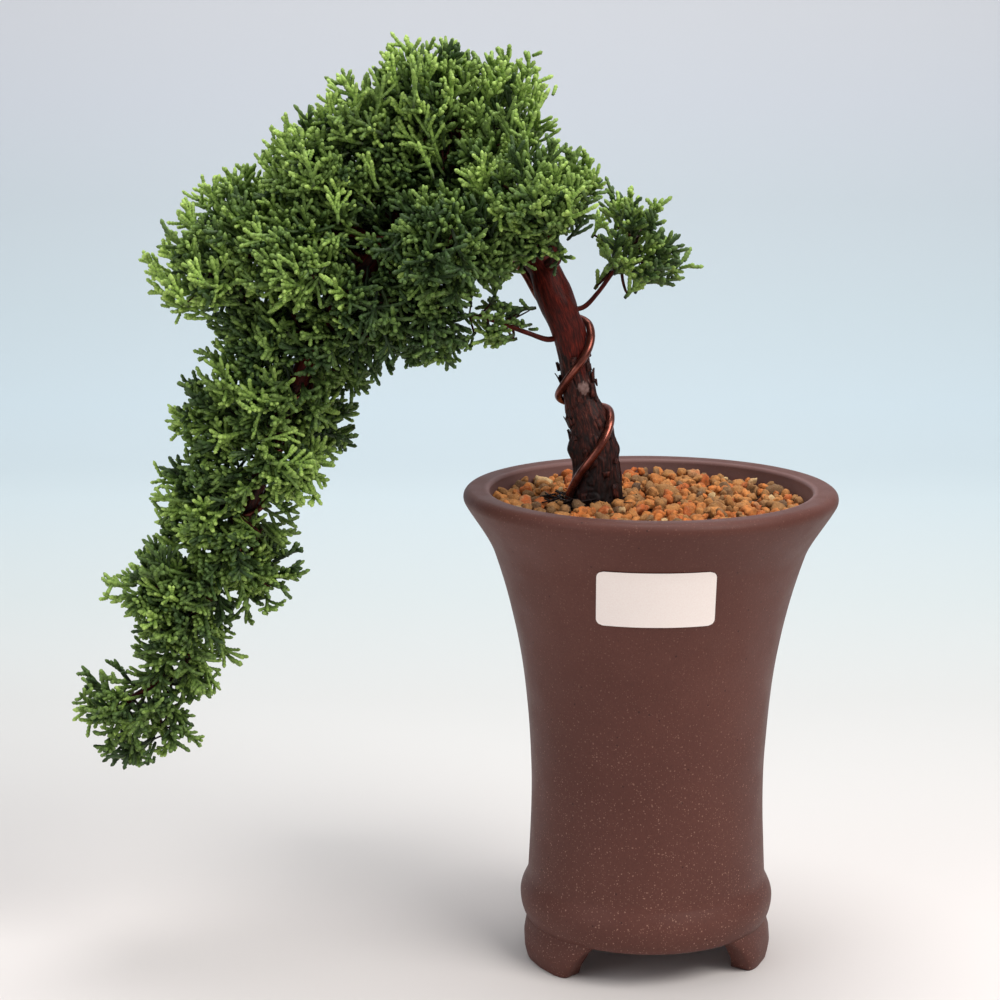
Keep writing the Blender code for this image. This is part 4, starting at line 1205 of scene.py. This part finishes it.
def spray_shoots(rng, base, axis, flat, length, sunny, depth):
    """Shoots of many sprays: each a leader with side shoots that fork again."""
    count = len(base)
    lift_up = UP[None] * 0.13
    rows = []

    def add(start, heading, size, thickness, foot_age, tip_age, tone, chance=1.0):
        keep = (size > 2.2 * MM) & (rng.uniform(size=count) < chance)
        lift = lift_up + rng.normal(0, 0.07, (count, 3))
        ages = np.stack([np.full(count, foot_age), tip_age + (1 - tip_age) * tone], axis=-1)
        rows.append([part[keep] for part in (start, heading, size, thickness, lift, ages, tone)])

    # Lower tone for deeper sprays and for less sunny clumps: painted shade.
    tone = np.clip(sunny * (1.15 - 0.95 * depth) + rng.normal(0, 0.24, count), 0, 1)
    thick = rng.uniform(0.88, 1.08, count) * MM
    add(base, axis, length, thick, 0.15, 0.8, tone)
    third = np.cross(axis, flat)
    for number, mark in enumerate((0.24, 0.38, 0.51, 0.63, 0.74, 0.85)):
        way = 1 if number % 2 else -1
        roll = rng.normal(0, 0.75, count)
        out = flat * (way * np.cos(roll))[:, None] + third * np.sin(roll)[:, None]
        opening = np.radians(rng.uniform(30, 52, count))[:, None]
        heading = unit(axis * np.cos(opening) + out * np.sin(opening))
        start = base + axis * (length * mark)[:, None] + lift_up * (length * mark ** 2)[:, None]
        size = length * (0.60 - 0.33 * mark) * rng.uniform(0.7, 1.35, count)
        shade = np.clip(tone + rng.normal(0, 0.07, count), 0, 1)
        add(start, heading, size, thick * 0.97, 0.25, 0.78, shade, 0.93)
        for share, turn, chance in ((0.36, 1, 0.5), (0.58, -1, 0.36)):
            fork = np.radians(rng.uniform(30, 50, count))[:, None] * turn
            bent = unit(heading * np.cos(fork) + np.cross(third, heading) * np.sin(fork)
                        + third * rng.normal(0, 0.3, (count, 1)))
            add(start + heading * (size * share)[:, None], bent,
                size * rng.uniform(0.5, 0.8, count), thick * 0.93, 0.4, 0.8, shade,
                chance * (1.1 - mark))
    return [np.concatenate(column) for column in zip(*rows)]


def add_shoots(name, node, sprays):
    vertices, faces, age, tone = shoots_mesh(*sprays)
    add_piece(name, vertices, faces, "foliage", [node], {"age": age, "tone": tone},
              np.stack([age * 0.96 + 0.02, tone * 0.96 + 0.02], axis=-1))


# Clumps of a few open sprays, and how far from the middle their ends stay.
SPARSE = {"right_spray": 0.8, "low_spray": 0.86, "tip_shoot": 0.86, "tip_end": 0.86}
BOX_LOW, BOX_HIGH = (np.array(corner) for corner in FRAME_BOX)


def growth_of(middle):
    """The way a clump grows: out from the trunk, or on along it where it sits on it."""
    apart = np.linalg.norm(trunk_line - middle, axis=1)
    nearest = int(np.argmin(apart))
    along = unit(trunk_line[min(nearest + 2, len(trunk_line) - 1)] - trunk_line[nearest - 2])
    out = (middle - trunk_line[nearest]) / 25 / MM
    return unit(out + along * 0.45)


def outline_spots(rng, name, number, gap):
    """Where sprays end on the free part of a clump's outline, made ragged."""
    middle = pad_middles[name]
    spots, normals = surface_points(rng, *pad_shapes[name], 1500)
    if np.sum((spots - middle) * normals) < 0:
        normals = -normals
    others = [other for other in PADS if other != name
              and np.linalg.norm(pad_middles[other] - middle) < 75 * MM]
    beyond = spots + normals * 3 * MM
    free = np.array([not any(inside(other, p) for other in others) for p in beyond])
    spots, normals = spread_points(rng, spots[free], normals[free], gap)
    ragged = layered_noise(spots * 60, 40 + number, 2) * 8.0 - 1.6
    return spots + normals * (np.clip(ragged, -9, 2.2) * MM)[:, None], normals


def make_pad(name, number, twigs):
    """One clump: sprays that end on its outline, and ones deeper in it darkened as painted shade.
    """
    rng = np.random.default_rng(100 + number)
    short = name.replace("foliage_", "")
    gap, rise, long, sunny, along = CLUMPS.get(short, USUAL)
    middle = pad_middles[name]
    spots, normals = outline_spots(rng, name, number, gap * MM)
    deep_spots, _ = spread_points(rng, *surface_points(rng, *pad_shapes[name], 500),
                                  gap * 1.6 * MM)
    if short in SPARSE:
        deep_spots = deep_spots[:0]
    deep_spots = middle + (deep_spots - middle) * rng.uniform(0.45, 0.8, (len(deep_spots), 1))
    depth = np.concatenate([np.zeros(len(spots)), np.ones(len(deep_spots))])
    ends = np.vstack([spots, deep_spots])
    outward = np.vstack([normals, unit(deep_spots - middle)])
    roots = []
    for target in middle + (ends - middle) * 0.25:
        near = wood_tree.find_n(target, 3)
        roots.append(tuple(near[rng.integers(len(near))][0]))
    roots = np.array(roots)
    axis = unit(outward * 0.62 + growth_of(middle) * along + UP[None] * rise
                + rng.normal(0, 0.30, ends.shape))
    length = rng.uniform(13.0, 22.5, len(ends)) * MM * long
    if short in SPARSE:
        ends = middle + (ends - middle) * SPARSE[short]
    ends = np.clip(ends, BOX_LOW + 3 * MM, BOX_HIGH - 5.5 * MM)
    base = ends - axis * length[:, None]
    flat = unit(np.cross(axis, UP[None] + rng.normal(0, 0.5, ends.shape)))
    add_shoots("shoots_" + short, name,
               spray_shoots(rng, base, axis, flat, length, sunny, depth))
    chosen = rng.uniform(size=len(ends)) < (1.0 if short in SPARSE else 0.35)
    for root, end, way in zip(roots[chosen], base[chosen], axis[chosen]):
        twigs.append((root, end, way, rng.uniform(0.35, 0.7) * MM))


def make_inner_shoots(twigs):
    """Sprays darkened as painted shade that leave the stems themselves and fill the room between
    clumps.
    """
    rng = np.random.default_rng(77)
    line, _ = spline(trunk_line, 3.5 * MM)
    crown = run_length(line) > CROWN_FROM
    runs = [(line[crown], unit(np.gradient(line, axis=0))[crown])]
    for name in BRANCHES:
        line, _ = spline(branch_lines[name][0], 3.5 * MM)
        way = unit(np.gradient(line, axis=0))
        start = len(line) // 2 if name in BARE else 1
        runs.append((line[start:], way[start:]))
    points, ways = (np.repeat(np.vstack(column), 4, axis=0) for column in zip(*runs))
    out = rng.normal(size=points.shape)
    out[:, 1] -= 0.9
    out = unit(out - ways * np.sum(out * ways, axis=-1, keepdims=True))
    axis = unit(out + ways * rng.uniform(0.2, 0.9, (len(points), 1)) + UP[None] * 0.1)
    length = rng.uniform(13, 19, len(points)) * MM
    base = points + out * rng.uniform(3, 12, (len(points), 1)) * MM
    ends = base + axis * length[:, None]
    keep = []
    for end in ends:
        near, name = min((np.linalg.norm(pad_middles[name] - end), name) for name in PADS)
        close = pad_trees[name].find_nearest(end)[3]
        keep.append(inside(name, end) or (close < 12 * MM and near < 50 * MM))
    keep = np.array(keep)
    keep &= np.all((ends > BOX_LOW + 2 * MM) & (ends < BOX_HIGH - 2 * MM), axis=1)
    base, axis, length, points = base[keep], axis[keep], length[keep], points[keep]
    flat = unit(np.cross(axis, UP[None] + rng.normal(0, 0.5, axis.shape)))
    for part, chosen in enumerate(np.array_split(np.argsort(base[:, 0]), 4)):
        # A low sunny value paints these inner sprays in shade.
        add_shoots(f"inner_shoots_{part + 1}", "foliage_crown_core", spray_shoots(
            rng, base[chosen], axis[chosen], flat[chosen], length[chosen], 0.22, 0.2))
    for root, end, way in zip(points, base, axis):
        if rng.uniform() < 0.4:
            twigs.append((root, end, way, rng.uniform(0.35, 0.6) * MM))


def make_twigs(twigs):
    """Thin brown twigs from the stems out to the sprays."""
    parts = []
    for number, (root, end, way, radius) in enumerate(twigs):
        span = np.linalg.norm(end - root)
        if span < 2 * MM:
            continue
        t = np.linspace(0, 1, 7)[:, None]
        bend = (root + end) / 2 - way * span * 0.12
        line = (1 - t) ** 2 * root + 2 * t * (1 - t) * bend + t * t * (end + way * 2 * MM)
        line = line + smooth_noise(line * 160 + number, 3)[:, None] * np.array([0.6, 0.5, 0.6]) * MM
        radii = np.linspace(radius * 1.25, radius * 0.8, 7)
        _, side, other = across_frames(line)
        around = spokes(side, other, full_turn(5))
        vertices = (line[:, None] + around * radii[:, None, None]).reshape(-1, 3)
        fields = plain_fields(in_strands(vertices, 1.2, 2.4), np.ones(len(vertices)))
        parts.append((vertices, [grid_faces(7, 5)], fields))
    return parts


# ---- stage ----

def make_stage():
    """A pale floor that sweeps up into a pale blue-grey backdrop."""
    kit = Finish("backdrop", roughness=0.9, specular=0.1)
    _, y, z = kit.split(kit.place, "XYZ")
    away = kit.math("ADD", kit.times(y, 0.5), z)
    color = kit.ramp(kit.span(away, 0.0, 1.4), [
        (0.014, srgb(226, 220, 217)), (0.146, srgb(217, 217, 215)), (0.24, srgb(217, 224, 224)),
        (0.375, srgb(222, 235, 239)), (0.52, srgb(219, 234, 241)), (0.64, srgb(215, 228, 234)),
        (0.76, srgb(213, 222, 228)), (0.87, srgb(218, 222, 229)), (0.97, srgb(222, 223, 228))])
    front, back, bend, tall, half_width = -3.0, 1.2, 0.7, 3.0, 4.0
    outline = [(front, 0.0), (back, 0.0)]
    outline += [(back + bend * math.sin(a), bend - bend * math.cos(a))
                for a in np.linspace(0.05, math.pi / 2, 24)]
    outline.append((back + bend, tall))
    vertices = [(x, y, z) for y, z in outline for x in (-half_width, half_width)]
    i = np.arange(len(outline) - 1) * 2
    faces = np.stack([i, i + 1, i + 3, i + 2], axis=-1)
    mesh_object("sweep", vertices, [faces], kit.done(color))


bpy.context.scene.view_settings.view_transform = "Standard"
add_camera()
add_world((0.93, 0.96, 1.0), 0.34)
TREE = (0.0, 0.0, 0.2)
add_area_light("key", (0.95, -0.75, 1.35), TREE, 1.0, 20, (1.0, 0.98, 0.95))
add_area_light("fill", (-1.3, -1.0, 0.8), TREE, 1.2, 6.5, (0.92, 0.96, 1.0))
add_area_light("backdrop", (0.0, 0.9, 2.3), (0.0, 1.9, 0.5), 1.6, 9, (1.0, 1.0, 1.0))
add_area_light("top", (0.0, 0.1, 1.7), (0.0, 0.0, 0.1), 1.0, 13, (1.0, 1.0, 1.0))
make_stage()
make_label(make_pot())
make_bed()
make_gravel()
make_litter()
make_trunk()
branch_parts = make_branches()
make_wire("thick_wire", "trunk_wire")
make_wire("thin_wire", "cascade_wire")
twig_list = []
for pad_number, pad_name in enumerate(PADS):
    make_pad(pad_name, pad_number, twig_list)
make_inner_shoots(twig_list)
add_wood("branches", branch_parts, BRANCHES)
twig_parts = make_twigs(twig_list)
for part in range(2):
    add_wood(f"twigs_{part + 1}", twig_parts[part::2], BRANCHES)

# The pieces inside the pot keep their CAD shapes.
for inner, finish_name in (("soil", "mix"), ("drain_screen", "mix"), ("screen_clip", "wire")):
    NODES[inner].data.materials.clear()
    NODES[inner].data.materials.append(FINISHES[finish_name])
